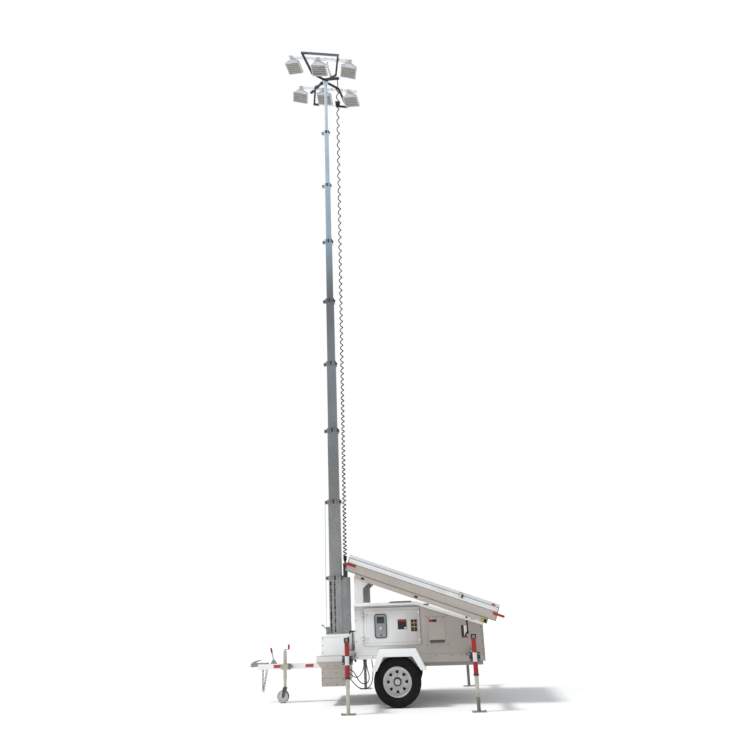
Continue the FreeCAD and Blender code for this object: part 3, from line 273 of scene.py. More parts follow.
# %% Paint
def make_paint(name, color, roughness=0.38, dust=0.25, patch=0.05, shade_fade=None, coat=0.15):
    material, tree, shader, place = new_material(name)
    patches = noise(tree, place, 2.3, 4.0)
    speckle = noise(tree, place, 55.0, 2.0)
    base = ramp(tree, patches, [(0.32, shade(color, 1.0 - patch)), (0.68, shade(color, 1.0 + patch))])
    base = blend_color(tree, spread(tree, speckle, 0.35, 0.75, 0.0, 0.10), base, shade(color, 0.88))
    # Painted shade: the colour fades to the shade colour towards the rear along x and towards the top along
    # z, for a side in shade and under the solar panels
    if shade_fade:
        start, end, other = shade_fade
        rear_shade = spread(tree, axis_of(tree, place, "X"), start, end, 0.0, 1.0)
        top_shade = spread(tree, axis_of(tree, place, "Z"), 0.98, 1.20, 0.0, 0.75)
        base = blend_color(tree, calculate(tree, "MAXIMUM", rear_shade, top_shade), base, other)
    height = axis_of(tree, place, "Z")
    low_down = spread(tree, height, 0.15, 0.75, dust, 0.0)
    streaks = noise(tree, place, 9.0, 5.0, 0.65)
    dusty = calculate(tree, "MULTIPLY", low_down, streaks)
    base = blend_color(tree, dusty, base, (0.42, 0.39, 0.34))
    tree.links.new(base, shader.inputs["Base Color"])
    set_roughness(tree, shader, speckle, 0.3, 0.7, roughness - 0.06, roughness + 0.08)
    set_inputs(shader, {"Coat Weight": coat, "Coat Roughness": 0.2})
    relief(tree, shader, noise(tree, place, 420.0, 1.0), 0.12, 0.0004)
    return material


# %% [markdown]
# ## Galvanised steel
# Hot-dip zinc freezes in flakes. Voronoi cells give each flake its own tone, a slow noise
# clouds them, and the flakes change the roughness more than the colour. Along the mast the
# steel in the photograph goes from grey through a dark middle to a blue top, so painted
# light follows the height: painted shade in the middle and a painted sky reflection at the top.

# %% Galvanised steel
MAST_LIGHT_BY_HEIGHT = [(0.0, (0.45, 0.415, 0.38)), (0.16, (0.45, 0.415, 0.38)), (0.30, (0.325, 0.30, 0.27)),
                (0.46, (0.335, 0.34, 0.335)), (0.60, (0.26, 0.258, 0.247)), (0.70, (0.56, 0.65, 0.70)),
                (0.92, (0.93, 1.0, 1.0))]


def make_galvanised(name, color):
    material, tree, shader, place = new_material(name)
    flakes = facets(tree, place, 38.0)
    clouds = noise(tree, place, 3.0, 5.0, 0.6)
    base = ramp(tree, clouds, [(0.25, shade(color, 0.84)), (0.75, shade(color, 1.10))])
    base = blend_color(tree, spread(tree, flakes, 0.0, 1.0, 0.0, 0.35), base, shade(color, 0.80))
    # Painted shade and painted sky reflection by height, on every galvanised part
    height = spread(tree, axis_of(tree, place, "Z"), 0.0, 10.0, 0.0, 1.0)
    height_light = ramp(tree, height, MAST_LIGHT_BY_HEIGHT)
    base = blend_color(tree, 1.0, base, height_light, "MULTIPLY")
    tree.links.new(base, shader.inputs["Base Color"])
    shader.inputs["Metallic"].default_value = 0.55
    set_roughness(tree, shader, flakes, 0.0, 1.0, 0.36, 0.58)
    relief(tree, shader, clouds, 0.08, 0.002)
    return material


# %% [markdown]
# ## Rubber, plastic and metal
# Tyres are nearly black, matt, and greyer where dust sits. Moulded plastic has a fine
# grain, and cast or plated metal a finer one under a slow change of tone.

# %% Other finishes
def make_rubber(name, color, roughness, dust):
    material, tree, shader, place = new_material(name)
    mottle = noise(tree, place, 14.0, 5.0, 0.6)
    fine = noise(tree, place, 90.0, 3.0)
    base = ramp(tree, mottle, [(0.3, color), (0.8, shade(color, 1.9))])
    base = blend_color(tree, spread(tree, mottle, 0.45, 0.8, 0.0, dust), base, (0.13, 0.12, 0.11))
    tree.links.new(base, shader.inputs["Base Color"])
    set_roughness(tree, shader, fine, 0.3, 0.7, roughness - 0.1, roughness + 0.1)
    shader.inputs["Specular IOR Level"].default_value = 0.22
    relief(tree, shader, fine, 0.25, 0.001)
    return material


def make_plastic(name, color, roughness=0.5):
    material, tree, shader, place = new_material(name)
    fine = noise(tree, place, 260.0, 2.0)
    slow = noise(tree, place, 6.0, 3.0)
    base = ramp(tree, slow, [(0.3, shade(color, 0.9)), (0.7, shade(color, 1.1))])
    tree.links.new(base, shader.inputs["Base Color"])
    set_roughness(tree, shader, fine, 0.3, 0.7, roughness - 0.07, roughness + 0.07)
    relief(tree, shader, fine, 0.2, 0.0006)
    return material


def make_metal(name, color, roughness=0.35, metal=0.9, grain=120.0):
    material, tree, shader, place = new_material(name)
    slow = noise(tree, place, 8.0, 4.0)
    fine = noise(tree, place, grain, 2.0)
    base = ramp(tree, slow, [(0.3, shade(color, 0.88)), (0.72, shade(color, 1.08))])
    tree.links.new(base, shader.inputs["Base Color"])
    shader.inputs["Metallic"].default_value = metal
    set_roughness(tree, shader, fine, 0.3, 0.7, roughness - 0.08, roughness + 0.1)
    relief(tree, shader, fine, 0.06, 0.0006)
    return material


# %% [markdown]
# ## One finish for each slot
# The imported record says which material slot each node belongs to. A table from slot to
# finish dresses every node at once, and pieces that need more get it further down.

# %% Slot finishes
WHITE = (0.84, 0.835, 0.83)
CREAM = (0.50, 0.445, 0.395)
SIDE_SHADE = (0.40, 0.355, 0.32)
finishes = {
    "white_paint": make_paint("white_paint_coat", WHITE),
    "cream_paint": make_paint("cream_paint_coat", CREAM, roughness=0.45, patch=0.07),
    "red_paint": make_paint("red_paint_coat", (0.32, 0.005, 0.006), roughness=0.4, dust=0.05, coat=0.05),
    "black_paint": make_paint("black_paint_coat", (0.010, 0.010, 0.012), roughness=0.5, dust=0.1, coat=0.0),
    "galvanised": make_galvanised("galvanised_steel", (0.74, 0.82, 0.91)),
    "zinc_plate": make_metal("zinc_plated_steel", (0.52, 0.515, 0.41), roughness=0.45, metal=0.35),
    "rim_silver": make_metal("rim_silver_lacquer", (0.54, 0.52, 0.51), roughness=0.38, metal=0.3),
    "tyre_rubber": make_rubber("tyre_rubber_black", (0.006, 0.006, 0.006), roughness=0.85, dust=0.04),
    "cable_rubber": make_rubber("cable_rubber_black", (0.008, 0.008, 0.009), roughness=0.6, dust=0.0),
    "panel_plastic": make_plastic("panel_plastic_grey", (0.23, 0.25, 0.26)),
    "battery_case": make_plastic("battery_case_black", (0.05, 0.05, 0.055)),
    "solar_cells": make_plastic("solar_cells_plain", (0.02, 0.03, 0.08), roughness=0.2),
    "lamp_grey": make_metal("lamp_cast_grey", (0.58, 0.59, 0.61), roughness=0.45, metal=0.3),
    "wheel_alloy": make_metal("jockey_wheel_alloy", (0.6, 0.6, 0.6), roughness=0.4, metal=0.7),
}
slot_of = {part["node"]: part["material_slot"] for part in frame["record"]["subparts"]}
body_of = {}
for body_name, members in frame["record"]["behaviour"]["bodies"].items():
    for member in members:
        body_of[member] = body_name
for node_name, node in nodes.items():
    for material_slot in node.material_slots:
        material_slot.material = finishes[slot_of[node_name]]
print("finishes:", len(finishes))

# %% [markdown]
# ## Special finishes
# A few surfaces need their own recipe: photovoltaic cells behind glass, a reflector made of
# tiny facets, the lens of a lamp, the small screen, and yellow passivated brass. Each is
# still the same idea, a pattern in metres fed to colour, roughness and relief.

# %% Special finishes
SOLAR_TILT = math.radians(20.0)


def make_cells(name):
    # Blue cells of 156 mm with thin silver lines, in the plane of the tilted panels
    material, tree, shader, place = new_material(name)
    mapping = tree.nodes.new("ShaderNodeMapping")
    mapping.inputs["Rotation"].default_value = (0.0, -SOLAR_TILT, 0.0)
    tree.links.new(place, mapping.inputs["Vector"])
    place = mapping.outputs["Vector"]
    along = axis_of(tree, place, "X")
    across = axis_of(tree, place, "Y")
    lines = None
    for source, pitch, width in ((along, 0.158, 0.988), (across, 0.158, 0.988), (across, 0.0395, 0.972)):
        wave = calculate(tree, "PINGPONG", calculate(tree, "ADD", source, 50.0), pitch / 2)
        edge = calculate(tree, "GREATER_THAN", wave, pitch / 2 * width)
        lines = edge if lines is None else calculate(tree, "MAXIMUM", lines, edge)
    shades = noise(tree, place, 5.0, 2.0)
    cell = ramp(tree, shades, [(0.3, (0.006, 0.012, 0.045)), (0.7, (0.012, 0.022, 0.075))])
    base = blend_color(tree, lines, cell, (0.35, 0.37, 0.40))
    tree.links.new(base, shader.inputs["Base Color"])
    set_roughness(tree, shader, noise(tree, place, 40.0), 0.3, 0.7, 0.12, 0.22)
    set_inputs(shader, {"Coat Weight": 0.8, "Coat Roughness": 0.06})
    relief(tree, shader, lines, 0.1, 0.0002)
    return material


def make_reflector(name, color):
    material, tree, shader, place = new_material(name)
    facet = facets(tree, place, 260.0)
    base = blend_color(tree, spread(tree, facet, 0.0, 1.0, 0.0, 0.5), color, shade(color, 1.7))
    tree.links.new(base, shader.inputs["Base Color"])
    set_roughness(tree, shader, facet, 0.0, 1.0, 0.12, 0.3)
    shader.inputs["Coat Weight"].default_value = 0.7
    relief(tree, shader, facet, 0.3, 0.0004)
    return material


special = {
    "cells": make_cells("photovoltaic_cells"),
    "reflector": make_reflector("reflector_red", (0.44, 0.010, 0.010)),
    "screen": make_plastic("screen_dark", (0.02, 0.03, 0.03), roughness=0.18),
    "button": make_plastic("button_pale", (0.72, 0.72, 0.70), roughness=0.35),
    "face_grey": make_plastic("operator_face_grey", (0.30, 0.32, 0.33), roughness=0.5),
    "black": make_plastic("fitting_black", (0.022, 0.022, 0.024), roughness=0.42),
    "label": make_plastic("label_blank", (0.78, 0.77, 0.74), roughness=0.4),
    "label_amber": make_plastic("label_amber_blank", (0.72, 0.52, 0.12), roughness=0.42),
    "glass": make_plastic("lamp_lens", (0.28, 0.255, 0.23), roughness=0.25),
    "emitter": make_plastic("lamp_emitter", (0.40, 0.365, 0.32), roughness=0.3),
    "screw_dark": make_metal("screw_dark_zinc", (0.10, 0.10, 0.105), roughness=0.45, metal=0.5),
    "seam_grey": make_plastic("seam_grey_shade", (0.30, 0.30, 0.30), roughness=0.6),
    # Painted shade: the far jack legs in shadow
    "far_leg_shade": make_paint("far_leg_shade_coat", (0.15, 0.13, 0.12), roughness=0.5, dust=0.35),
    # Painted shade on the white sides and doors, darker towards the rear and the top
    "side_shaded_paint": make_paint("side_shaded_paint_coat", WHITE, shade_fade=(0.24, 0.74, SIDE_SHADE)),
    "low_paint": make_paint("low_paint_coat", (0.45, 0.40, 0.355), roughness=0.45, patch=0.07),
    # Painted shade: the side rails under the housing
    "rail_shade": make_paint("rail_shade_coat", (0.27, 0.235, 0.21), roughness=0.5, patch=0.07),
    "skirt_paint": make_paint("skirt_paint_coat", (0.78, 0.755, 0.735), dust=0.0),
    # Painted light: a brighter copy of the same white paint
    "lit_white_paint": make_paint("lit_white_paint_coat", (0.94, 0.94, 0.93), dust=0.05),
    "roof_pale": make_paint("roof_pale_coat", (0.84, 0.835, 0.83), dust=0.05),
    # Painted shade in two depths for the foot of the rear near leg
    "leg_shade": make_paint("leg_shade_coat", (0.11, 0.11, 0.10), roughness=0.5, patch=0.2),
    "leg_half_shade": make_paint("leg_half_shade_coat", (0.33, 0.33, 0.28), roughness=0.5, patch=0.2),
    # Painted shade for the vent hoods; the hinge rings use the same dark finish
    "hood_dark": make_plastic("hood_shade", (0.07, 0.07, 0.07), roughness=0.6),
    # Painted shade in the gaps between the solar layers
    "gap_brown": make_plastic("gap_brown_shade", (0.10, 0.085, 0.07), roughness=0.7),
    "post_shade": make_paint("post_shade_coat", (0.16, 0.165, 0.165), roughness=0.5),
    # Painted shade seen through the rim windows
    "wheel_window_shade": make_rubber("wheel_window_shade", (0.008, 0.008, 0.009), roughness=0.8, dust=0.0),
    "panel_edge": make_paint("panel_edge_coat", (0.74, 0.74, 0.765), roughness=0.3),
    "label_dark": make_plastic("label_dark_blank", (0.016, 0.013, 0.013), roughness=0.6),
    "label_red": make_plastic("label_red_blank", (0.34, 0.012, 0.014), roughness=0.4),
    "brass": make_metal("brass_passivated", (0.44, 0.36, 0.14), roughness=0.4, metal=0.7),
    "steel": make_metal("steel_bright", (0.62, 0.62, 0.62), roughness=0.3, metal=0.9),
    "rope": make_metal("rope_steel", (0.30, 0.30, 0.31), roughness=0.5, metal=0.8, grain=900.0),
    "gasket": make_rubber("gasket_black", (0.014, 0.014, 0.015), roughness=0.6, dust=0.05),
    "red_plastic": make_plastic("grip_red", (0.38, 0.008, 0.008), roughness=0.45),
    "amber": make_plastic("marker_amber", (0.72, 0.24, 0.02), roughness=0.2),
    "jack_white": make_paint("jack_white_coat", (0.74, 0.73, 0.70), roughness=0.4),
    "frame_grey": make_paint("frame_grey_coat", (0.12, 0.125, 0.14), roughness=0.5, dust=0.1, coat=0.0),
    "hub_grey": make_paint("hub_grey_coat", (0.075, 0.095, 0.11), roughness=0.4, dust=0.1),
    "bar_pale": make_paint("bar_pale_coat", (0.92, 0.94, 0.95), roughness=0.4, dust=0.05),
}
# The roof lies under the panels. A weak glow stands in for the light of the white studio
roof_shader = special["roof_pale"].node_tree.nodes["Principled BSDF"]
set_inputs(roof_shader, {"Emission Color": (1.0, 1.0, 1.0, 1.0), "Emission Strength": 0.5})
finishes.update(special)
print("special finishes:", len(special))

# %% [markdown]
# ## Tools for solid shapes
# Small real parts are blocks, rods and plates whose edges are slightly round. These
# helpers collect such shapes in one bmesh, and one call at the end turns them into a
# piece: normals outward, sharp edges bevelled, flat faces kept flat.

# %% Shape tools
def block(bm, low, high, turn=None):
    xs, ys, zs = zip(low, high)
    corners = [Vector((x, y, z)) for x in xs for y in ys for z in zs]
    verts = [bm.verts.new(turn @ c if turn else c) for c in corners]
    for face in ((0, 1, 3, 2), (4, 6, 7, 5), (0, 4, 5, 1), (2, 3, 7, 6), (0, 2, 6, 4), (1, 5, 7, 3)):
        bm.faces.new([verts[i] for i in face])


def side_block(bm, side, x0, x1, inner, outer, z0, z1, turn=None):
    # A block on one side, between two distances from the middle plane
    y0, y1 = sorted((side * inner, side * outer))
    block(bm, (x0, y0, z0), (x1, y1, z1), turn)


def bridge(bm, pairs):
    # Quads between each pair of rings
    for first, second in pairs:
        for k in range(len(first)):
            after = (k + 1) % len(first)
            bm.faces.new((first[k], first[after], second[after], second[k]))


def lathe(bm, start, axis, profile, sides=24, turn=None):
    # Rings of (distance along the axis, radius), closed at both ends
    axis = Vector(axis).normalized()
    side = axis.orthogonal().normalized()
    other = axis.cross(side)
    rings = []
    for along, radius in profile:
        ring = []
        for k in range(sides):
            a = 2 * math.pi * k / sides
            point = Vector(start) + axis * along + (side * math.cos(a) + other * math.sin(a)) * radius
            ring.append(bm.verts.new(turn @ point if turn else point))
        rings.append(ring)
    bridge(bm, zip(rings, rings[1:]))
    bm.faces.new(list(reversed(rings[0])))
    bm.faces.new(rings[-1])


def rod(bm, start, end, radius, sides=24, turn=None):
    span = Vector(end) - Vector(start)
    lathe(bm, start, span, [(0.0, radius), (span.length, radius)], sides, turn)


def plate(bm, outline, depth, turn=None):
    # A flat outline given as points in space, thickened by the vector depth
    near = [Vector(p) for p in outline]
    far = [p + Vector(depth) for p in near]
    lower = [bm.verts.new(turn @ p if turn else p) for p in near]
    upper = [bm.verts.new(turn @ p if turn else p) for p in far]
    bm.faces.new(lower)
    bm.faces.new(list(reversed(upper)))
    count = len(near)
    for k in range(count):
        bm.faces.new((lower[k], upper[k], upper[(k + 1) % count], lower[(k + 1) % count]))


def round_edges(bm, width):
    if width <= 0:
        return
    sharp = math.radians(35.0)
    edges = [e for e in bm.edges if len(e.link_faces) == 2 and e.calc_face_angle(0.0) > sharp]
    bmesh.ops.bevel(bm, geom=edges, offset=width, segments=2, profile=0.6, affect="EDGES",
                    clamp_overlap=True)


def mesh_of(name, bm):
    mesh = bpy.data.meshes.new(name)
    bm.to_mesh(mesh)
    bm.free()
    return mesh


def mount(name, mesh, body, angle=32.0):
    # An object of the mesh, smooth up to the angle, that rides on its body
    mesh.shade_smooth()
    mesh.set_sharp_from_angle(angle=math.radians(angle))
    obj = link(bpy.data.objects.new(name, mesh))
    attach(obj, body)
    return obj


def piece(name, bm, finish, body="root", bevel=0.0008):
    bmesh.ops.recalc_face_normals(bm, faces=bm.faces)
    round_edges(bm, bevel)
    mesh = mesh_of(name, bm)
    mesh.materials.append(finishes[finish])
    return mount(name, mesh, body)


# %% [markdown]
# ## Repeats
# Screws, lamp lenses, tread lugs and chain links come in rows. One Geometry Nodes tree
# sets them out: it reads a point and a turn for each, puts the pattern there, gives each
# a slightly different size from a fixed seed, and makes everything one real mesh.

# %% Repeats
def make_repeat_tree():
    tree = bpy.data.node_groups.new("set_out_on_points", "GeometryNodeTree")
    face = tree.interface
    for name, kind in (("Points", "Geometry"), ("Pattern", "Object"), ("Smallest", "Float"),
                       ("Largest", "Float"), ("Seed", "Int"), ("Finish", "Material")):
        face.new_socket(name=name, in_out="INPUT", socket_type="NodeSocket" + kind)
    face.new_socket(name="Result", in_out="OUTPUT", socket_type="NodeSocketGeometry")
    start = tree.nodes.new("NodeGroupInput")
    end = tree.nodes.new("NodeGroupOutput")
    place = tree.nodes.new("GeometryNodeInstanceOnPoints")
    info = tree.nodes.new("GeometryNodeObjectInfo")
    info.inputs["As Instance"].default_value = True
    turn = tree.nodes.new("GeometryNodeInputNamedAttribute")
    turn.data_type = "FLOAT_VECTOR"
    turn.inputs["Name"].default_value = "turn"
    rotate = tree.nodes.new("FunctionNodeEulerToRotation")
    size = tree.nodes.new("FunctionNodeRandomValue")
    size.data_type = "FLOAT"
    real = tree.nodes.new("GeometryNodeRealizeInstances")
    coat = tree.nodes.new("GeometryNodeSetMaterial")
    for source, output, target, entry in (
        (start, "Points", place, "Points"), (start, "Pattern", info, "Object"),
        (info, "Geometry", place, "Instance"), (turn, "Attribute", rotate, "Euler"),
        (rotate, "Rotation", place, "Rotation"), (start, "Smallest", size, 2),
        (start, "Largest", size, 3), (start, "Seed", size, "Seed"),
        (size, 1, place, "Scale"), (place, "Instances", real, "Geometry"),
        (real, "Geometry", coat, "Geometry"), (start, "Finish", coat, "Material"),
        (coat, "Geometry", end, "Result"),
    ):
        tree.links.new(source.outputs[output], target.inputs[entry])
    return tree


REPEAT_SEED = 7
repeat_tree = make_repeat_tree()
repeat_input = {item.name: item.identifier for item in repeat_tree.interface.items_tree
                if getattr(item, "in_out", "") == "INPUT"}


def bake(obj):
    graph = bpy.context.evaluated_depsgraph_get()
    return bpy.data.meshes.new_from_object(obj.evaluated_get(graph))


def set_out(name, pattern, places, finish, body="root", spread_size=0.0):
    # pattern is a bmesh, places are matrices
    bmesh.ops.recalc_face_normals(pattern, faces=pattern.faces)
    pattern_object = link(bpy.data.objects.new(name + "_pattern", mesh_of(name + "_pattern", pattern)))
    points = bpy.data.meshes.new(name + "_points")
    points.from_pydata([m.to_translation() for m in places], [], [])
    turns = points.attributes.new("turn", "FLOAT_VECTOR", "POINT")
    for item, matrix in zip(turns.data, places):
        item.vector = matrix.to_euler()
    base = link(bpy.data.objects.new(name + "_base", points))
    modifier = base.modifiers.new("set_out", "NODES")
    modifier.node_group = repeat_tree
    settings = {"Pattern": pattern_object, "Smallest": 1.0 - spread_size, "Largest": 1.0 + spread_size,
                "Seed": REPEAT_SEED, "Finish": finishes[finish]}
    for key, value in settings.items():
        modifier[repeat_input[key]] = value
    mesh = bake(base)
    mesh.name = name
    for temporary in (base, pattern_object):
        bpy.data.objects.remove(temporary)
    return mount(name, mesh, body)


def facing(point, direction, spin=0.0):
    # A matrix at point whose local Z looks along direction
    turn = Vector(direction).to_track_quat("Z", "Y").to_matrix().to_4x4()
    return Matrix.Translation(point) @ turn @ Matrix.Rotation(spin, 4, "Z")


print("tree inputs:", sorted(repeat_input))

# %% [markdown]
# ## Copies with rounded edges
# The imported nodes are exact, with edges sharper than any folded sheet. A copy of each is
# merged, its flat faces are joined again, and the sharp edges get a small round, which is
# what catches the light on real sheet metal. Regions of a copy can take another finish,
# after cuts that give the colour bands their own faces.

# %% Dressing
def dress(name, width, regions=(), cuts=()):
    source = nodes[name]
    bm = bmesh.new()
    bm.from_mesh(source.data)
    bmesh.ops.remove_doubles(bm, verts=bm.verts, dist=0.00002)
    bmesh.ops.dissolve_limit(bm, angle_limit=math.radians(0.6), verts=bm.verts, edges=bm.edges)
    for point, normal in cuts:
        everything = list(bm.verts) + list(bm.edges) + list(bm.faces)
        bmesh.ops.bisect_plane(bm, geom=everything, plane_co=Vector(point), plane_no=Vector(normal),
                               dist=0.00001)
    materials = [finishes[slot_of[name]]]
    for finish, test in regions:
        if finishes[finish] not in materials:
            materials.append(finishes[finish])
        index = materials.index(finishes[finish])
        for face in bm.faces:
            if test(face.calc_center_median(), face.normal):
                face.material_index = index
    round_edges(bm, width)
    mesh = mesh_of(name + "_skin", bm)
    for material in materials:
        mesh.materials.append(material)
    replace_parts(mount(name + "_skin", mesh, body_of[name], angle=30.0), name)


print("nodes to dress:", len(nodes))

# %% [markdown]
# ## Cords first
# The coiled cable from the junction box to the lamp head and the hoses under the front box
# are free cords, so they come before the hard details. Each follows a smooth NURBS line
# through the route of the construction. A coil is a helix wound around such a line: tight
# at the foot, where it is slack, and drawn open near the top.

# %% Cord tools
def nurbs_route(name, points):
    curve = bpy.data.curves.new(name, "CURVE")
    curve.dimensions = "3D"
    curve.resolution_u = 12
    spline = curve.splines.new("NURBS")
    spline.points.add(len(points) - 1)
    for knot, point in zip(spline.points, points):
        knot.co = (*point, 1.0)
    spline.order_u = 3
    spline.use_endpoint_u = True
    return link(bpy.data.objects.new(name, curve))


def route_line(obj):
    mesh = bake(obj)
    line = [v.co.copy() for v in mesh.vertices]
    bpy.data.meshes.remove(mesh)
    return line


def line_length(line):
    return sum((b - a).length for a, b in zip(line, line[1:]))


def sweep(bm, line, radius, sides=10, closed=False):
    # A round tube along the line, its frame carried without twist
    count = len(line)
    tangents = []
    for i in range(count):
        before = line[i - 1] if i > 0 or closed else line[0]
        after = line[(i + 1) % count] if i < count - 1 or closed else line[-1]
        tangents.append((after - before).normalized())
    side = tangents[0].orthogonal().normalized()
    rings = []
    for point, tangent in zip(line, tangents):
        side = (side - tangent * side.dot(tangent)).normalized()
        other = tangent.cross(side)
        rings.append([bm.verts.new(point + (side * math.cos(2 * math.pi * k / sides)
                                            + other * math.sin(2 * math.pi * k / sides)) * radius)
                      for k in range(sides)])
    pairs = list(zip(rings, rings[1:]))
    if closed:
        pairs.append((rings[-1], rings[0]))
    bridge(bm, pairs)
    if not closed:
        bm.faces.new(list(reversed(rings[0])))
        bm.faces.new(rings[-1])


def circle(centre, radius, count, standing=False):
    # Points of a circle, lying flat or standing in the plane of x and z
    points = []
    for k in range(count):
        a = 2 * math.pi * k / count
        away = (math.cos(a), 0.0, math.sin(a)) if standing else (math.cos(a), math.sin(a), 0.0)
        points.append(Vector(centre) + Vector(away) * radius)
    return points


print("cord tools ready")

# %% [markdown]
# ## Hoses
# Three hoses leave the back of the lower front box, sag under it and climb to the chassis
# beam. Each is a curve with a round bevel. The route is a short table of x and z, at one y.

# %% Hoses
HOSE_RADIUS = 0.006
hose_routes = {
    # name: (y, radius, ((x, z), ...))
    "hose_long": (-0.340, HOSE_RADIUS, ((-0.377, 0.425), (-0.325, 0.425), (-0.275, 0.392), (-0.240, 0.338),
                                        (-0.212, 0.282), (-0.168, 0.243), (-0.110, 0.237), (-0.072, 0.282),
                                        (-0.070, 0.343), (-0.087, 0.400), (-0.099, 0.458), (-0.104, 0.508),
                                        (-0.104, 0.555))),
    "hose_low": (-0.322, HOSE_RADIUS, ((-0.377, 0.330), (-0.330, 0.312), (-0.284, 0.258), (-0.236, 0.208),
                                       (-0.176, 0.176), (-0.112, 0.176), (-0.060, 0.208), (-0.034, 0.268),
                                       (-0.022, 0.334), (-0.020, 0.400), (-0.024, 0.464), (-0.030, 0.514),
                                       (-0.030, 0.555))),
    "hose_short": (-0.362, 0.0055, ((-0.377, 0.385), (-0.334, 0.378), (-0.290, 0.345), (-0.246, 0.318),
                                    (-0.202, 0.330), (-0.166, 0.372), (-0.142, 0.424), (-0.128, 0.474),
                                    (-0.124, 0.518), (-0.124, 0.555))),
}
for name, (y, radius, flat) in hose_routes.items():
    route = nurbs_route(name + "_cord", [(x, y, z) for x, z in flat])
    length = line_length(route_line(route))
    route.data.bevel_depth = radius
    route.data.bevel_resolution = 3
    route.data.use_fill_caps = True
    route.data.materials.append(finishes["cable_rubber"])
    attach(route, "root")
    if name in nodes:
        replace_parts(route, name)
    print(name, "length", round(length, 3))

# %% [markdown]
# ## Coiled mast cable
# The route is the straight, slightly leaning line of the construction. The helix is made
# by walking along it and turning faster where the pitch is small.

# %% Coiled cable
COIL_FOOT = Vector((-0.381, -0.064, 1.775))
COIL_HEAD = Vector((-0.303, -0.064, 10.076))
COIL_RADIUS = 0.020
CABLE_RADIUS = 0.008
TIGHT_TOP_Z = 1.875
TIGHT_PITCH = 0.020
COIL_END_Z = 9.98
PITCH_LOW = 0.052
PITCH_HIGH = 0.180
STEPS_PER_TURN = 16


def wind_coil(line):
    # Heights along the route, then the helix around it
    foot, head = line[0], line[-1]
    helix = [foot.copy()]
    angle = 0.0
    z = foot.z + 0.012
    while z < COIL_END_Z:
        share = (z - foot.z) / (COIL_END_Z - foot.z)
        pitch = PITCH_LOW + (PITCH_HIGH - PITCH_LOW) * share ** 1.15
        if z < TIGHT_TOP_Z:
            pitch = TIGHT_PITCH
        centre = foot.lerp(head, (z - foot.z) / (head.z - foot.z))
        opening = min(1.0, (z - foot.z) / 0.05, (COIL_END_Z - z) / 0.12)
        radius = COIL_RADIUS * max(0.0, opening) * (1.0 - 0.06 * math.sin(z * 9.0))
        helix.append(centre + Vector((math.cos(angle), math.sin(angle), 0.0)) * radius)
        angle += 2 * math.pi / STEPS_PER_TURN
        z += pitch / STEPS_PER_TURN
    tail = foot.lerp(head, (COIL_END_Z + 0.02 - foot.z) / (head.z - foot.z))
    helix += [tail, tail.lerp(head, 0.33), tail.lerp(head, 0.66), head.copy()]
    return helix


coil_route = nurbs_route("coil_route", [COIL_FOOT, COIL_FOOT.lerp(COIL_HEAD, 0.5), COIL_HEAD])
coil_line = wind_coil(route_line(coil_route))
bpy.data.objects.remove(coil_route)
coil_mesh = bmesh.new()
sweep(coil_mesh, coil_line, CABLE_RADIUS, sides=8)
coil = piece("coil_cable", coil_mesh, "cable_rubber", "root", bevel=0.0)
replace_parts(coil, "coil_cord")
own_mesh(coil)

# %% [markdown]
# ## Every node gets its rounded copy
# A table gives each node the width of its round. Thin sheet gets a fine one, thick
# castings and boxes a wider one. Finishes of single regions are picked by place.

# %% Dressing by region
MAST_X = -0.526
AXLE_X = 0.318
TYRE_R = 0.298
HEAD_Z = 10.102
LEAN = math.radians(11.5)
SOLAR_CORNER = Vector((-0.330, 0.0, 1.604))
solar_matrix = Matrix.Translation(SOLAR_CORNER) @ Matrix.Rotation(SOLAR_TILT, 4, "Y")
solar_back = solar_matrix.inverted()
solar_up = Vector((math.sin(SOLAR_TILT), 0.0, math.cos(SOLAR_TILT)))
head_matrix = Matrix.Translation((MAST_X, 0.0, HEAD_Z)) @ Matrix.Rotation(LEAN, 4, "Y")
head_back = head_matrix.inverted()
SIDES = (("near", -1), ("far", 1))


def head_local(p):
    return head_back @ p


def everywhere(p, n):
    return True


def cell_face(floor_w):
    return lambda p, n: n.dot(solar_up) > 0.9 and abs((solar_back @ p).z - floor_w) < 0.0015


def wheel_radius(p):
    return math.hypot(p.x - AXLE_X, p.z - TYRE_R)


plain_widths = {
    "coupling": 0.0015, "jockey_leg": 0.001, "axle": 0.0025, "housing_floor": 0.001, "battery_block": 0.004,
    "solar_cassette": 0.0008,
}
# Painted light and shade in this table: the sides and doors take the shaded white, and the upper front box
# and fenders a brighter copy of the white paint
whole_finishes = {
    # node: (width of the round, finish)
    "housing_side_near": (0.0015, "side_shaded_paint"), "housing_side_far": (0.0015, "side_shaded_paint"),
    "housing_ends": (0.0015, "side_shaded_paint"), "door_near": (0.0015, "side_shaded_paint"),
    "door_far": (0.0015, "side_shaded_paint"), "front_box_upper": (0.003, "lit_white_paint"),
    "fenders": (0.0012, "lit_white_paint"), "lamp_yokes": (0.0006, "lamp_grey"),
    "mast_winch": (0.001, "galvanised"), "jockey_fork": (0.0008, "screw_dark"),
}
hub_parts = [("black", lambda p, n: 0.035 < wheel_radius(p) < 0.0525 and abs(p.y) > 0.70),
             ("black", lambda p, n: abs(p.y) < 0.632 and wheel_radius(p) < 0.115)]
red_lever = ("red_paint", lambda p, n: abs(p.y) > 0.7001)
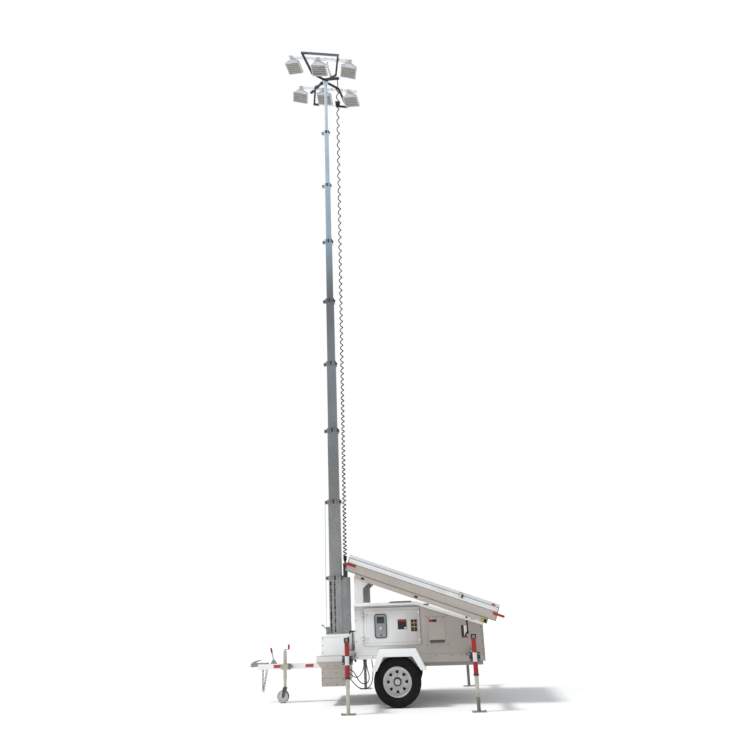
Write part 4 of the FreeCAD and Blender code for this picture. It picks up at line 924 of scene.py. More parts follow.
# The roof and the drawbar take the brighter copy of the white paint: painted light
region_finishes = {
    # node: (width of the round, [(finish, test), ...])
    "brake_lever": (0.0008, [("galvanised", everywhere), ("red_plastic", lambda p, n: p.z > 0.621)]),
    # The side rails behind x 0.26 are painted shade under the housing
    "chassis": (0.003, [("rail_shade", lambda p, n: abs(p.y) > 0.53 and p.z < 0.556 and p.x > 0.26)]),
    "housing_roof": (0.004, [("lit_white_paint", everywhere), ("roof_pale", lambda p, n: n.z > 0.5)]),
    "solar_posts": (0.0015, [("post_shade", lambda p, n: p.y > 0 and p.x < 0)]),
    "drawbar": (0.004, [("lit_white_paint", everywhere), ("brass", lambda p, n: p.z < 0.4125 and p.x < -1.50)]),
    "jockey_wheel": (0.0015, [("screw_dark", lambda p, n: math.hypot(p.x + 1.264, p.z - 0.080) > 0.064)]),
    # The vent hood's side and lower faces are near black: painted shade of the vent openings
    "vent_panels": (0.001, [("low_paint", everywhere),
                            ("hood_dark", lambda p, n: abs(p.y) > 0.6068 and p.z < 0.765 and n.z < 0.9)]),
    "jockey_tube": (0.0008, [("red_plastic", lambda p, n: p.z > 0.6685 and p.x > -1.205)]),
    "solar_top_panel": (0.001, [("panel_edge", everywhere), ("cells", cell_face(0.2629))]),
    "solar_drawer_near": (0.001, [("cells", cell_face(0.1613)), red_lever]),
    "solar_drawer_far": (0.001, [("cells", cell_face(0.2219)), red_lever]),
    "rim_near": (0.0008, hub_parts),
    "rim_far": (0.0008, hub_parts),
}
for name, width in plain_widths.items():
    dress(name, width)
for name, (width, finish) in whole_finishes.items():
    dress(name, width, regions=[(finish, everywhere)])
for name, (width, regions) in region_finishes.items():
    dress(name, width, regions=regions)
# Below SKIRT_LOW the lower front box is painted darker than its skirt: painted shade on the box body
SKIRT_LOW = 0.53
skirt_regions = [("skirt_paint", everywhere), ("low_paint", lambda p, n: p.z < SKIRT_LOW)]
dress("front_box_lower", 0.003, regions=skirt_regions, cuts=[((0, 0, SKIRT_LOW), (0, 0, 1))])
controller_parts = [
    ("black", everywhere),
    ("face_grey", lambda p, n: n.y < -0.9 and -0.6358 < p.y < -0.6342),
    ("screen", lambda p, n: 0.985 < p.z < 1.065 and p.y < -0.6358 and 0.08 < p.x < 0.176),
    ("button", lambda p, n: abs(p.z - 0.925) < 0.019 and p.y < -0.6355 and abs(p.x - 0.1275) < 0.019),
]
dress("controller", 0.0006, regions=controller_parts)
print("dressed so far:", len(plain_widths) + len(whole_finishes) + len(region_finishes) + 2)

# %% [markdown]
# ## Outriggers and jacks
# The four jacks are red, with a white middle where the clamp grips, a black gearbox on
# top, a black flange and a dark wiper ring at the lower end. The copy is cut at these
# heights, so every band has its own faces.

# %% Outriggers
BAND_LOW = 0.545
BAND_HIGH = 0.645
FLANGE_IN = 1.1108
FLANGE_OUT = 1.1222
jack_x = {"front": -0.260, "rear": 1.278}
jack_bands = [
    ("jack_white", lambda p, n: abs(p.y) > FLANGE_OUT and BAND_LOW < p.z < BAND_HIGH),
    ("black", lambda p, n: FLANGE_IN < abs(p.y) < FLANGE_OUT),
    ("black", lambda p, n: p.z > 0.7995 or p.z < 0.4085),
    ("galvanised", lambda p, n: abs(p.y) < FLANGE_IN),
]
jack_cuts = [((0, 0, BAND_LOW), (0, 0, 1)), ((0, 0, BAND_HIGH), (0, 0, 1))]
# Tops of two bands of painted shade on the rear near leg
LEG_HALF_SHADE_TOP = 0.205
LEG_DARK = 0.160
leg_cuts = [((0, 0, LEG_HALF_SHADE_TOP), (0, 0, 1)), ((0, 0, LEG_DARK), (0, 0, 1))]
FOOT_TOP = 0.0158


def cheek_beside(x):
    return lambda p, n: abs(p.x - x) > 0.0292 and abs(p.y) > FLANGE_IN and p.z < 0.79


for end in ("front", "rear"):
    for side in ("near", "far"):
        regions = jack_bands + [("black", cheek_beside(jack_x[end]))]
        dress(f"outrigger_{end}_{side}", 0.0012, regions=regions, cuts=jack_cuts)
        # Far legs are painted dark as painted shade, with a pale foot plate
        leg = [("far_leg_shade", lambda p, n: p.z > FOOT_TOP)] if side == "far" else []
        # The rear near leg darkens in two steps towards its foot: painted shade
        if (end, side) == ("rear", "near"):
            leg = [("leg_half_shade", lambda p, n: p.z < LEG_HALF_SHADE_TOP), ("leg_shade", lambda p, n: p.z < LEG_DARK)]
        leg.append(("galvanised", lambda p, n: p.z < FOOT_TOP))
        dress(f"jack_leg_{end}_{side}", 0.0008, regions=leg, cuts=leg_cuts)
print("jacks dressed: 4")

# %% [markdown]
# ## Mast and head
# Nine nested tubes of galvanised steel. The rope wheel in each collar is black plastic, the
# box under the coil is black, and the head is a black frame on a galvanised adaptor.

# %% Mast
SECTION_ONE = 0.176
SECTION_STEP = 0.016
SECTION_EXPOSED = 1.060
FOOT_TUBE_TOP = 1.596
COLLAR = 0.012


def section_half(number):
    return (SECTION_ONE - SECTION_STEP * (number - 1)) / 2


def wheel_beyond(limit):
    return lambda p, n: p.x < limit and abs(p.y) < 0.0085


for number in range(2, 10):
    wheel = wheel_beyond(MAST_X - (section_half(number) + COLLAR) - 0.001)
    dress(f"mast_section_{number}", 0.001, regions=[("black", wheel)] if number < 9 else ())
dress("mast_base", 0.0012, regions=[
    ("black", lambda p, n: p.x < MAST_X - 0.101 and abs(p.y) < 0.0085 and p.z > 1.5),
    ("black", lambda p, n: p.z > 1.5852 and p.x > -0.412 and -0.093 < p.y < -0.034),
])


def arm_region(p, n):
    q = head_local(p)
    return q.z > 0.0155 and 0.02 < q.y < 0.43 and q.x < -0.03 and abs(q.y - 0.265) > 0.019


def crossbar_region(p, n):
    q = head_local(p)
    return q.z > 0.0142 and min(abs(q.y + 0.504), abs(q.y - 0.265)) < 0.0198


def near_mast(p, distance):
    return max(abs(p.x - MAST_X), abs(p.y)) < distance


dress("lamp_head_frame", 0.0012, regions=[
    ("black_paint", everywhere),
    ("bar_pale", crossbar_region),
    ("frame_grey", lambda p, n: p.y < -0.652 and head_local(p).z < 0.016 and abs(p.x - MAST_X) < 0.27),
    ("bar_pale", lambda p, n: p.y > 0.40 and -0.213 < p.x - MAST_X < 0.100),
    ("galvanised", lambda p, n: near_mast(p, 0.0335) and p.z < 10.077),
    ("hub_grey", lambda p, n: near_mast(p, 0.0455) and 10.0755 < p.z < 10.101 and n.z > -0.9),
    ("galvanised", arm_region),
], cuts=[
    ((0, -0.652, 0), (0, 1, 0)), ((0, 0.2450, 0), (0, 1, 0)), ((0, 0.2850, 0), (0, 1, 0)),
    ((MAST_X - 0.213, 0, 0), (1, 0, 0)), ((MAST_X + 0.100, 0, 0), (1, 0, 0)),
])
LAMP_TILT = math.radians(75.0)
lamp_rows = {
    # name: (crossbar y, offset, yaw in degrees)
    "lamp_near_left": (-0.504, -0.547, -15.6), "lamp_near_middle": (-0.504, -0.064, -4.3),
    "lamp_near_right": (-0.504, 0.499, 8.7), "lamp_far_left": (0.265, -0.502, 7.5),
    "lamp_far_middle": (0.265, -0.075, -3.3), "lamp_far_right": (0.265, 0.395, -12.8),
}


def lamp_matrix(name):
    bar_y, offset, yaw = lamp_rows[name]
    return (head_matrix @ Matrix.Translation((offset, bar_y - 0.030, 0.005))
            @ Matrix.Rotation(math.radians(yaw), 4, "Z") @ Matrix.Rotation(LAMP_TILT, 4, "X"))


def lens_region(back):
    return lambda p, n: abs((back @ p).y + 0.028) < 0.0006 and (back.to_3x3() @ n).y < -0.9


for name in lamp_rows:
    dress(name, 0.0012, regions=[("glass", lens_region(lamp_matrix(name).inverted()))])
print("lamps dressed:", len(lamp_rows))

# %% [markdown]
# ## Lamp faces
# Behind each lens sit five rows of emitters. One low dome is the pattern, and the
# Geometry Nodes tree sets forty-five of them out on every lamp, slightly proud of the lens.

# %% Lamp emitters
EMITTER_ROWS = 5
EMITTER_COLUMNS = 9
ROW_LOW = -0.272
ROW_PITCH = 0.0375


def dome_pattern(radius, height):
    bm = bmesh.new()
    profile = [(0.0, radius), (height * 0.6, radius * 0.86), (height, radius * 0.4)]
    lathe(bm, (0, 0, 0), (0, 0, 1), profile, 8)
    return bm


for name in lamp_rows:
    matrix = lamp_matrix(name)
    places = []
    for row in range(EMITTER_ROWS):
        for column in range(EMITTER_COLUMNS):
            x = -0.102 + 0.204 * column / (EMITTER_COLUMNS - 1)
            z = ROW_LOW + ROW_PITCH * row
            places.append(matrix @ facing((x, -0.0278, z), (0, -1, 0)))
    set_out(name + "_emitters", dome_pattern(0.0085, 0.004), places, "emitter", name, 0.03)
    bm = bmesh.new()
    for row in range(EMITTER_ROWS + 1):
        z = ROW_LOW + ROW_PITCH * (row - 0.5)
        block(bm, (-0.117, -0.0292, z - 0.0012), (0.117, -0.0278, z + 0.0012), matrix)
    for side in (-1, 1):
        for z in (-0.285, -0.105):
            rod(bm, (side * 0.128, -0.034, z), (side * 0.128, -0.0325, z), 0.0045, 10, matrix)
    rod(bm, (0.0, 0.036, -0.150), (0.0, 0.036, -0.132), 0.009, 12, matrix)
    piece(name + "_trim", bm, "black", name, bevel=0.0)
print("emitters a lamp:", EMITTER_ROWS * EMITTER_COLUMNS)

# %% [markdown]
# ## Tyres
# A tyre is a profile turned about the axle: bead, bulging sidewall with two raised rings,
# shoulder, and a tread with three grooves. The shoulder lugs repeat around it, so the
# Geometry Nodes tree sets them out.

# %% Tyres
SIDEWALL = [(0.046, 0.1653), (0.058, 0.1745), (0.0665, 0.186), (0.0725, 0.200), (0.0752, 0.203),
            (0.0762, 0.208), (0.0750, 0.212), (0.0780, 0.226), (0.0788, 0.236), (0.0788, 0.241),
            (0.0775, 0.250), (0.0775, 0.254), (0.0755, 0.264), (0.0700, 0.277), (0.0620, 0.2875),
            (0.0520, 0.2935)]
TREAD = [(0.0380, 0.2958), (0.0372, 0.2880), (0.0300, 0.2880), (0.0292, 0.2966), (0.0060, 0.2978),
         (0.0052, 0.2895)]
TYRE_SIDES = 112
LUGS = 64


def spoke(a):
    # The directions outwards and along the rim at an angle
    return Vector((math.cos(a), 0.0, math.sin(a))), Vector((-math.sin(a), 0.0, math.cos(a)))


def make_tyre(side_name, side):
    middle = side * 0.703
    profile = SIDEWALL + TREAD
    full = profile + [(-y, r) for y, r in reversed(profile)]
    bm = bmesh.new()
    rings = []
    for y, r in full:
        points = circle((AXLE_X, middle + y, TYRE_R), r, TYRE_SIDES, standing=True)
        rings.append([bm.verts.new(point) for point in points])
    bridge(bm, zip(rings, rings[1:] + rings[:1]))
    tyre = piece("tyre_" + side_name + "_full", bm, "tyre_rubber", "wheel_" + side_name, bevel=0.0)
    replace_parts(tyre, "tyre_" + side_name)
    pattern = bmesh.new()
    block(pattern, (-0.0045, -0.009, -0.002), (0.0045, 0.009, 0.0035))
    places = []
    for edge in (-1, 1):
        for k in range(LUGS):
            a = 2 * math.pi * (k + 0.5 * (edge > 0)) / LUGS
            out, along = spoke(a)
            lean = (out + Vector((0, edge * 0.75, 0))).normalized()
            across = lean.cross(along)
            turn = Matrix((along, across, lean)).transposed().to_4x4()
            centre = Vector((AXLE_X, middle + edge * 0.0655, TYRE_R)) + out * 0.2825
            places.append(Matrix.Translation(centre) @ turn)
    set_out("tyre_" + side_name + "_lugs", pattern, places, "tyre_rubber", "wheel_" + side_name)


for side_name, side in SIDES:
    make_tyre(side_name, side)
NUT_CIRCLE = 0.079
window_corners = ((0.0990, -0.0125, 0.7415), (0.0990, 0.0125, 0.7415),
                  (0.1310, 0.0205, 0.7290), (0.1310, -0.0205, 0.7290))
for side_name, side in SIDES:
    wheel = "wheel_" + side_name
    nut = bmesh.new()
    lathe(nut, (0, 0, -0.004), (0, 0, 1), [(0.0, 0.0105), (0.014, 0.0105), (0.017, 0.0075)], 6)
    places = []
    for k in range(5):
        a = 2 * math.pi * k / 5 + 0.3
        centre = Vector((AXLE_X, side * 0.735, TYRE_R)) + spoke(a)[0] * NUT_CIRCLE
        places.append(facing(centre, (0, side, 0), a))
    set_out("wheel_nuts_" + side_name, nut, places, "rim_silver", wheel)
    bm = bmesh.new()
    valve_x = AXLE_X + 0.112
    rod(bm, (valve_x, side * 0.742, TYRE_R + 0.09), (valve_x, side * 0.768, TYRE_R + 0.078), 0.004, 10)
    piece("tyre_valve_" + side_name, bm, "black", wheel, bevel=0.0006)
    # A black disc behind the rim and black plates in its windows are painted shade: the dark inside the wheel
    bm = bmesh.new()
    rod(bm, (AXLE_X, side * 0.690, TYRE_R), (AXLE_X, side * 0.694, TYRE_R), 0.150, 48)
    piece("wheel_shade_" + side_name, bm, "gasket", wheel, bevel=0.0)
    bm = bmesh.new()
    for k in range(8):
        out, along = spoke(2 * math.pi * k / 8)
        outline = [Vector((AXLE_X, side * y, TYRE_R)) + out * r + along * w for r, w, y in window_corners]
        plate(bm, outline, (0.0, side * 0.0006, 0.0))
    piece("wheel_windows_" + side_name, bm, "wheel_window_shade", wheel, bevel=0.0)
print("tyre rings:", 2 * len(SIDEWALL + TREAD), "lugs:", 2 * LUGS)

# %% [markdown]
# ## Safety chains
# Welded round-bar links hang from the two eyes under the drawbar, each turned a quarter
# from the last. One link is swept once and repeated. The free end of each chain is hooked
# back to the drawbar, so a second strand returns beside the first.

# %% Chains
CHAIN_X = -1.560
LINK_TOP = 0.4034
LINK_LENGTH = 0.046
LINK_PITCH = 0.0356
LINK_COUNT = 7
CHAIN_Y = (-0.022, 0.022)
RETURN_TOP_X = -1.512
RETURN_SPREAD = 1.25


def link_pattern():
    bm = bmesh.new()
    bar = 0.0025
    half_width = 0.011 - bar
    straight = (LINK_LENGTH / 2 - bar) - half_width
    line = []
    for k in range(20):
        a = 2 * math.pi * k / 20
        x = math.cos(a) * half_width
        z = math.sin(a) * half_width + math.copysign(straight, math.sin(a) + 0.0001)
        line.append(Vector((x, 0.0, z)))
    sweep(bm, line, bar, sides=8, closed=True)
    return bm


places = []
returns = []
lean = Matrix.Rotation(math.radians(8.0), 4, "Y")
for y in CHAIN_Y:
    for k in range(LINK_COUNT):
        quarter = Matrix.Rotation(math.radians(90.0 * (k % 2)), 4, "Z")
        height = LINK_TOP - LINK_LENGTH / 2 - k * LINK_PITCH
        places.append(Matrix.Translation((CHAIN_X, y, height)) @ quarter)
        x = RETURN_TOP_X - 0.034 * k / (LINK_COUNT - 1)
        height = LINK_TOP - 0.018 - LINK_LENGTH / 2 - k * LINK_PITCH * 0.985
        returns.append(Matrix.Translation((x, y * RETURN_SPREAD, height)) @ lean @ quarter)
chain = set_out("chain_links", link_pattern(), places, "rope", "root")
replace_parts(chain, "safety_chains")
set_out("chain_return_links", link_pattern(), returns, "rope", "root")
bm = bmesh.new()
for y in CHAIN_Y:
    line = [Vector((RETURN_TOP_X + x, y * RETURN_SPREAD, LINK_TOP + z)) for x, z in (
        (0.002, -0.024), (0.010, -0.020), (0.013, -0.010), (0.008, 0.000), (0.000, 0.004), (-0.008, 0.001),
        (-0.011, -0.008))]
    sweep(bm, line, 0.0038, sides=10)
piece("chain_hooks", bm, "brass", bevel=0.0)
print("links:", len(places))

# %% [markdown]
# ## Drawbar fittings
# Red reflectors are let into pale frames on both sides of the drawbar. Bolts hold the
# coupling, the brake lever and the front box, and a clamp carries the jockey tube.

# %% Drawbar fittings
bm = bmesh.new()
frames = bmesh.new()
for side in (-1, 1):
    for x0, x1 in ((-1.405, -1.305), (-0.965, -0.855)):
        side_block(frames, side, x0 - 0.005, x1 + 0.005, 0.0353, 0.0375, 0.4285, 0.4745)
        side_block(bm, side, x0, x1, 0.0375, 0.0395, 0.4325, 0.4705)
piece("drawbar_reflectors", bm, "reflector", bevel=0.0006)
piece("reflector_frames", frames, "label", bevel=0.0005)
bm = bmesh.new()
for x in (-1.585, -1.500, -1.440):
    for y in (-0.024, 0.024):
        rod(bm, (x, y, 0.4945), (x, y, 0.503), 0.0085, 6)
for y in (-0.058, 0.058):
    for z in (0.396, 0.428):
        rod(bm, (-0.6905, y, z), (-0.6985, y, z), 0.0085, 6)
for x in (-1.280, -1.200):
    for z in (0.426, 0.470):
        rod(bm, (x, -0.104, z), (x, -0.111, z), 0.0075, 6)
piece("drawbar_bolts", bm, "steel", bevel=0.0008)
bm = bmesh.new()
for z in (0.304, 0.566):
    sweep(bm, circle((-1.240, -0.070, z), 0.0255, 32), 0.0030, sides=8, closed=True)
block(bm, (-1.300, -0.098, 0.444), (-1.266, -0.090, 0.452))
rod(bm, (-1.292, -0.120, 0.448), (-1.292, -0.090, 0.448), 0.006, 12)
piece("jockey_clamp_parts", bm, "zinc_plate", bevel=0.0008)
bm = bmesh.new()
block(bm, (-1.214, -0.0590, 0.4080), (-1.166, -0.0355, 0.4860))
block(bm, (-1.166, -0.0500, 0.4300), (-1.140, -0.0355, 0.4640))
piece("jockey_side_clamp", bm, "galvanised", bevel=0.0012)
bm = bmesh.new()
for x in (-1.203, -1.177):
    for z in (0.420, 0.447, 0.474):
        rod(bm, (x, -0.0590, z), (x, -0.0640, z), 0.0055, 6)
piece("jockey_clamp_bolts", bm, "screw_dark", bevel=0.0005)
print("drawbar fittings made")

# %% [markdown]
# ## Fender lips
# The fenders are folded sheets with a deep outer lip. The lip is one flat outline with
# eight corners, thickened outwards, and follows the fold lines of the sheet.

# %% Fender lips
LIP_OUTLINE = ((-0.001, 0.430), (0.109, 0.676), (0.569, 0.676), (0.688, 0.430),
               (0.618, 0.430), (0.520, 0.592), (0.158, 0.592), (0.068, 0.430))
# The lips take the brighter copy of the white paint: painted light
for side_name, side in SIDES:
    bm = bmesh.new()
    plate(bm, [(x, side * 0.8035, z) for x, z in LIP_OUTLINE], (0.0, side * 0.0025, 0.0))
    piece("fender_lip_" + side_name, bm, "lit_white_paint", bevel=0.0008)
print("lip corners:", len(LIP_OUTLINE))

# %% [markdown]
# ## Screws
# Hexagon and pan heads hold the sheets. Their places come from short tables of rows, and
# the same tree sets them out, one mesh for each body.

# %% Screws
def screw_pattern(radius, height=0.0028):
    bm = bmesh.new()
    profile = [(0.0, radius), (height * 0.55, radius), (height, radius * 0.72), (height, radius * 0.42),
               (height * 0.45, radius * 0.34)]
    lathe(bm, (0, 0, -0.0005), (0, 0, 1), profile, 12)
    return bm


screw_rows = [
    # x0, x1, z0, z1, count, distance of the face from the middle plane
    (0.712, 0.981, 0.702, 0.702, 2, 0.6000), (0.712, 0.981, 1.050, 1.050, 2, 0.6000),
    (0.750, 0.942, 1.029, 1.029, 3, 0.6060), (1.140, 1.200, 0.577, 0.577, 2, 0.6000),
    (-0.190, 1.415, 0.576, 0.576, 9, 0.6000), (1.415, 1.415, 0.640, 0.900, 4, 0.6000),
    (-0.200, -0.200, 0.640, 1.160, 5, 0.6000), (-0.603, -0.490, 0.477, 0.477, 2, 0.4700),
    (-0.667, -0.490, 0.395, 0.395, 2, 0.4700), (-0.600, -0.485, 0.256, 0.256, 2, 0.4700),
    (-0.667, -0.395, 0.310, 0.310, 2, 0.4700), (-0.660, -0.660, 0.640, 0.810, 3, 0.4500),
    (-0.328, -0.328, 0.640, 0.810, 3, 0.4500),
]
places = []
for x0, x1, z0, z1, count, distance in screw_rows:
    for side in (-1, 1):
        for k in range(count):
            share = k / max(1, count - 1)
            place = (x0 + (x1 - x0) * share, side * distance, z0 + (z1 - z0) * share)
            places.append(facing(place, (0, side, 0), k * 0.7))
for y in (-0.52, -0.26, 0.0, 0.26, 0.52):
    for z in (0.53, 0.90):
        places.append(facing((1.438, y, z), (1, 0, 0)))
set_out("housing_screws", screw_pattern(0.0065), places, "screw_dark", spread_size=0.04)
for side_name, side in SIDES:
    door_places = []
    for z in (0.800, 1.090):
        for x in (-0.078, -0.042):
            for dz in (-0.009, 0.009):
                door_places.append(facing((x, side * 0.6310, z + dz), (0, side, 0)))
    set_out("door_screws_" + side_name, screw_pattern(0.005, 0.002), door_places, "screw_dark",
            "door_" + side_name)
    bm = bmesh.new()
    for z in (0.800, 1.090):
        for dz in (-0.022, 0.016):
            rod(bm, (-0.106, side * 0.635, z + dz), (-0.106, side * 0.635, z + dz + 0.006), 0.0125, 16)
    piece("hinge_rings_" + side_name, bm, "hood_dark", "door_" + side_name, bevel=0.0006)
print("screws:", len(places))

# %% [markdown]
# ## Door seals, latches and blank plates
# A black rubber seal fills the gap behind each door and reads as its dark outline. The
# doors close with two turn latches. Plates and labels stay blank: a pale film with
# rounded corners.

# %% Door fittings
def ring_of_blocks(bm, side, x0, x1, z0, z1, width, inner, outer):
    for left, right, foot, head in (
        (x0, x1, z0, z0 + width), (x0, x1, z1 - width, z1),
        (x0, x0 + width, z0 + width, z1 - width), (x1 - width, x1, z0 + width, z1 - width),
    ):
        side_block(bm, side, left, right, inner, outer, foot, head)


seal = bmesh.new()
for side in (-1, 1):
    ring_of_blocks(seal, side, -0.0935, 0.6385, 0.7125, 1.1785, 0.020, 0.6002, 0.6075)
piece("door_seals", seal, "gasket", bevel=0.0)
for side_name, side in SIDES:
    bm = bmesh.new()
    for z in (0.776, 1.115):
        rod(bm, (0.617, side * 0.6262, z), (0.617, side * 0.6285, z), 0.0165, 24)
        rod(bm, (0.617, side * 0.6375, z), (0.617, side * 0.6425, z), 0.0105, 24)
        side_block(bm, side, 0.6155, 0.6185, 0.6425, 0.6435, z - 0.008, z + 0.008)
    piece("door_latches_" + side_name, bm, "steel", "door_" + side_name, bevel=0.0005)
    bm = bmesh.new()
    ring_of_blocks(bm, side, -0.058, 0.603, 0.748, 1.143, 0.0022, 0.6262, 0.6268)
    side_block(bm, side, 0.4740, 0.4758, 0.6288, 0.6293, 0.756, 1.136)
    piece("door_seams_" + side_name, bm, "seam_grey", "door_" + side_name, bevel=0.0)


def soft_plate(bm, x0, x1, z0, z1, y, thickness):
    corner = 0.0015
    outline = []
    for cx, cz, start in ((x1 - corner, z1 - corner, 0), (x0 + corner, z1 - corner, 1),
                          (x0 + corner, z0 + corner, 2), (x1 - corner, z0 + corner, 3)):
        for k in range(5):
            a = math.pi / 2 * (start + k / 4)
            outline.append((cx + corner * math.cos(a), y, cz + corner * math.sin(a)))
    plate(bm, outline, (0.0, -thickness, 0.0))


DOOR_FACE = -0.6290
VENT_FACE = -0.6060
SIDE_FACE = -0.6000
FILM = 0.0007
PRINT = 0.0010
blank_plates = (
    # name, body, rows of finish, x0, x1, z0, z1, y of the face, thickness
    ("door_plate", "door_near", (
        ("label_dark", 0.348, 0.463, 0.904, 1.025, DOOR_FACE, FILM),
        ("label_red", 0.351, 0.460, 0.998, 1.022, DOOR_FACE, PRINT),
        ("label", 0.430, 0.458, 0.912, 0.930, DOOR_FACE, PRINT),
        ("label_dark", 0.518, 0.597, 0.875, 1.020, DOOR_FACE, FILM),
        ("label_amber", 0.523, 0.592, 0.975, 0.981, DOOR_FACE, PRINT),
        ("label_amber", 0.523, 0.592, 0.927, 0.933, DOOR_FACE, PRINT),
        ("label_amber", 0.5555, 0.5595, 0.882, 1.013, DOOR_FACE, PRINT),
    )),
    ("body_plate", "root", (
        ("label_red", 0.750, 0.850, 0.978, 1.012, VENT_FACE, FILM),
        ("label_dark", 0.796, 0.848, 0.981, 1.009, VENT_FACE, PRINT),
        ("label_dark", 1.158, 1.238, 0.780, 0.930, SIDE_FACE, FILM),
        ("label", 1.192, 1.234, 0.800, 0.926, SIDE_FACE, PRINT),
        ("label_red", 1.162, 1.234, 0.784, 0.797, SIDE_FACE, PRINT),
    )),
)
for name, body, rows in blank_plates:
    for number, (finish, *place) in enumerate(rows):
        bm = bmesh.new()
        soft_plate(bm, *place)
        piece(f"{name}_{number}", bm, finish, body, bevel=0.0)
print("labels left blank")

# %% [markdown]
# ## Operator panel
# The panel face gets a dark window bezel around the screen. The round selector below it is
# pale and the small button dark, both without any sign on them.

# %% Operator panel details
bezel = bmesh.new()
ring_of_blocks(bezel, -1, 0.0795, 0.1755, 0.985, 1.065, 0.005, 0.6350, 0.6378)
piece("panel_bezel", bezel, "black", "door_near", bevel=0.0006)
print("panel details made")

# %% [markdown]
# ## Seams, straps and vents
# Folded sheets meet in thin dark seams. The rear corner carries a black rubber strap that holds
# the solar frame down on the road, and the vent hoods, dressed earlier, are painted shade.

# %% Seams
seam_rows = (
    # x0, x1, two distances from the middle plane, z0, z1
    (-0.214, 1.437, 0.6000, 0.6004, 0.5972, 0.5990), (-0.744, -0.306, 0.4700, 0.4704, 0.5972, 0.5990),
    (-0.679, -0.378, 0.4700, 0.4704, 0.4492, 0.4508), (-0.679, -0.309, 0.4500, 0.4504, 0.8240, 0.8256),
    (1.4150, 1.4162, 0.6000, 0.6004, 0.502, 0.945), (-0.679, -0.378, 0.4700, 0.4705, 0.3300, 0.3325),
)
strap_rows = (
    (1.2300, 1.2460, 0.6002, 0.6070, 0.8450, 1.0250), (1.2240, 1.2520, 0.6002, 0.6120, 1.0150, 1.0370),
    (1.2240, 1.2520, 0.6002, 0.6120, 0.8330, 0.8500), (-0.3220, -0.3080, 0.4502, 0.4640, 0.6400, 0.6620),
    (-0.3220, -0.3080, 0.4502, 0.4640, 0.8000, 0.8220), (-0.3220, -0.3080, 0.4640, 0.4740, 0.6400, 0.8220),
    (-0.300, -0.2152, 0.484, 0.504, 0.884, 0.902), (-0.300, -0.286, 0.484, 0.504, 0.856, 0.886),
    (-0.262, -0.252, 0.484, 0.504, 0.640, 0.884), (-0.300, -0.2152, 0.484, 0.504, 0.590, 0.640),
    (-0.240, -0.2152, 0.484, 0.504, 0.520, 0.600),
)
buckle = Matrix.Translation((1.215, 0.0, 0.818)) @ Matrix.Rotation(math.radians(28.0), 4, "Y")
seams = bmesh.new()
dark = bmesh.new()
for side in (-1, 1):
    for row in seam_rows:
        side_block(seams, side, *row)
    for row in strap_rows:
        side_block(dark, side, *row)
    side_block(dark, side, -0.010, 0.010, 0.6002, 0.6120, -0.022, 0.022, buckle)
piece("sheet_seams", seams, "gasket", bevel=0.0)
hatches = bmesh.new()
block(hatches, (0.235, -0.380, 1.2252), (0.520, 0.050, 1.2400))
block(hatches, (0.225, -0.390, 1.2252), (0.530, 0.060, 1.2290))
block(hatches, (0.690, -0.420, 1.1800), (0.760, -0.300, 1.2020))
piece("roof_hatches", hatches, "seam_grey", bevel=0.002)
piece("straps_and_slots", dark, "gasket", bevel=0.0012)
brass = bmesh.new()
for side in (-1, 1):
    rod(brass, (-0.2105, side * 0.6002, 0.612), (-0.2105, side * 0.6160, 0.612), 0.007, 6)
    rod(brass, (-0.2105, side * 0.6160, 0.612), (-0.2105, side * 0.6230, 0.612), 0.0045, 12)
piece("grease_points", brass, "brass", bevel=0.0006)
print("seams made")

# %% [markdown]
# ## Solar stack fittings
# Red grips pull the drawers, steel and brass latches with black catches hold them, and the
# beams of the base frame have dark pockets where a strap goes through.

# %% Solar fittings
def solar_block(bm, side, u0, u1, inner, outer, w0, w1):
    side_block(bm, side, u0, u1, inner, outer, w0, w1, solar_matrix)


pockets = bmesh.new()
hardware = bmesh.new()
latches = bmesh.new()
edges = bmesh.new()
markers = bmesh.new()
for side in (-1, 1):
    for u in (0.230, 0.960):
        solar_block(pockets, side, u + 0.001, u + 0.045, 0.6922, 0.6935, 0.018, 0.042)
    latch_low = 0.196 if side < 0 else 0.232
    solar_block(latches, side, 1.500, 1.532, 0.7002, 0.7055, latch_low, 0.262)
    solar_block(hardware, side, 1.533, 1.560, 0.7002, 0.7055, latch_low, 0.244)
    solar_block(pockets, side, 1.538, 1.558, 0.7055, 0.7130, latch_low, 0.238)
    solar_block(hardware, side, 1.845, 1.888, 0.7002, 0.7060, -0.004, 0.062)
    solar_block(pockets, side, 1.884, 1.918, 0.7002, 0.7080, -0.002, 0.044)
    solar_block(hardware, side, 1.918, 1.930, 0.640, 0.7060, -0.004, 0.062)
    drawer, grip_low = ("near", 0.1303) if side < 0 else ("far", 0.1909)
    grips = bmesh.new()
    for u0, u1 in ((-0.028, 0.118), (1.972, 2.118)):
        solar_block(grips, side, u0, u1, 0.7012, 0.7170, grip_low, grip_low + 0.030)
    piece(f"solar_grips_{drawer}", grips, "red_plastic", f"solar_drawer_{drawer}", bevel=0.003)
    solar_block(markers, side, 1.930, 1.975, 0.7002, 0.7050, 0.236, 0.254)
plates = bmesh.new()
solar_block(plates, -1, 1.130, 1.330, 0.7002, 0.7022, 0.172, 0.222)
piece("solar_white_plate", plates, "label", "solar_drawer_far", bevel=0.0006)
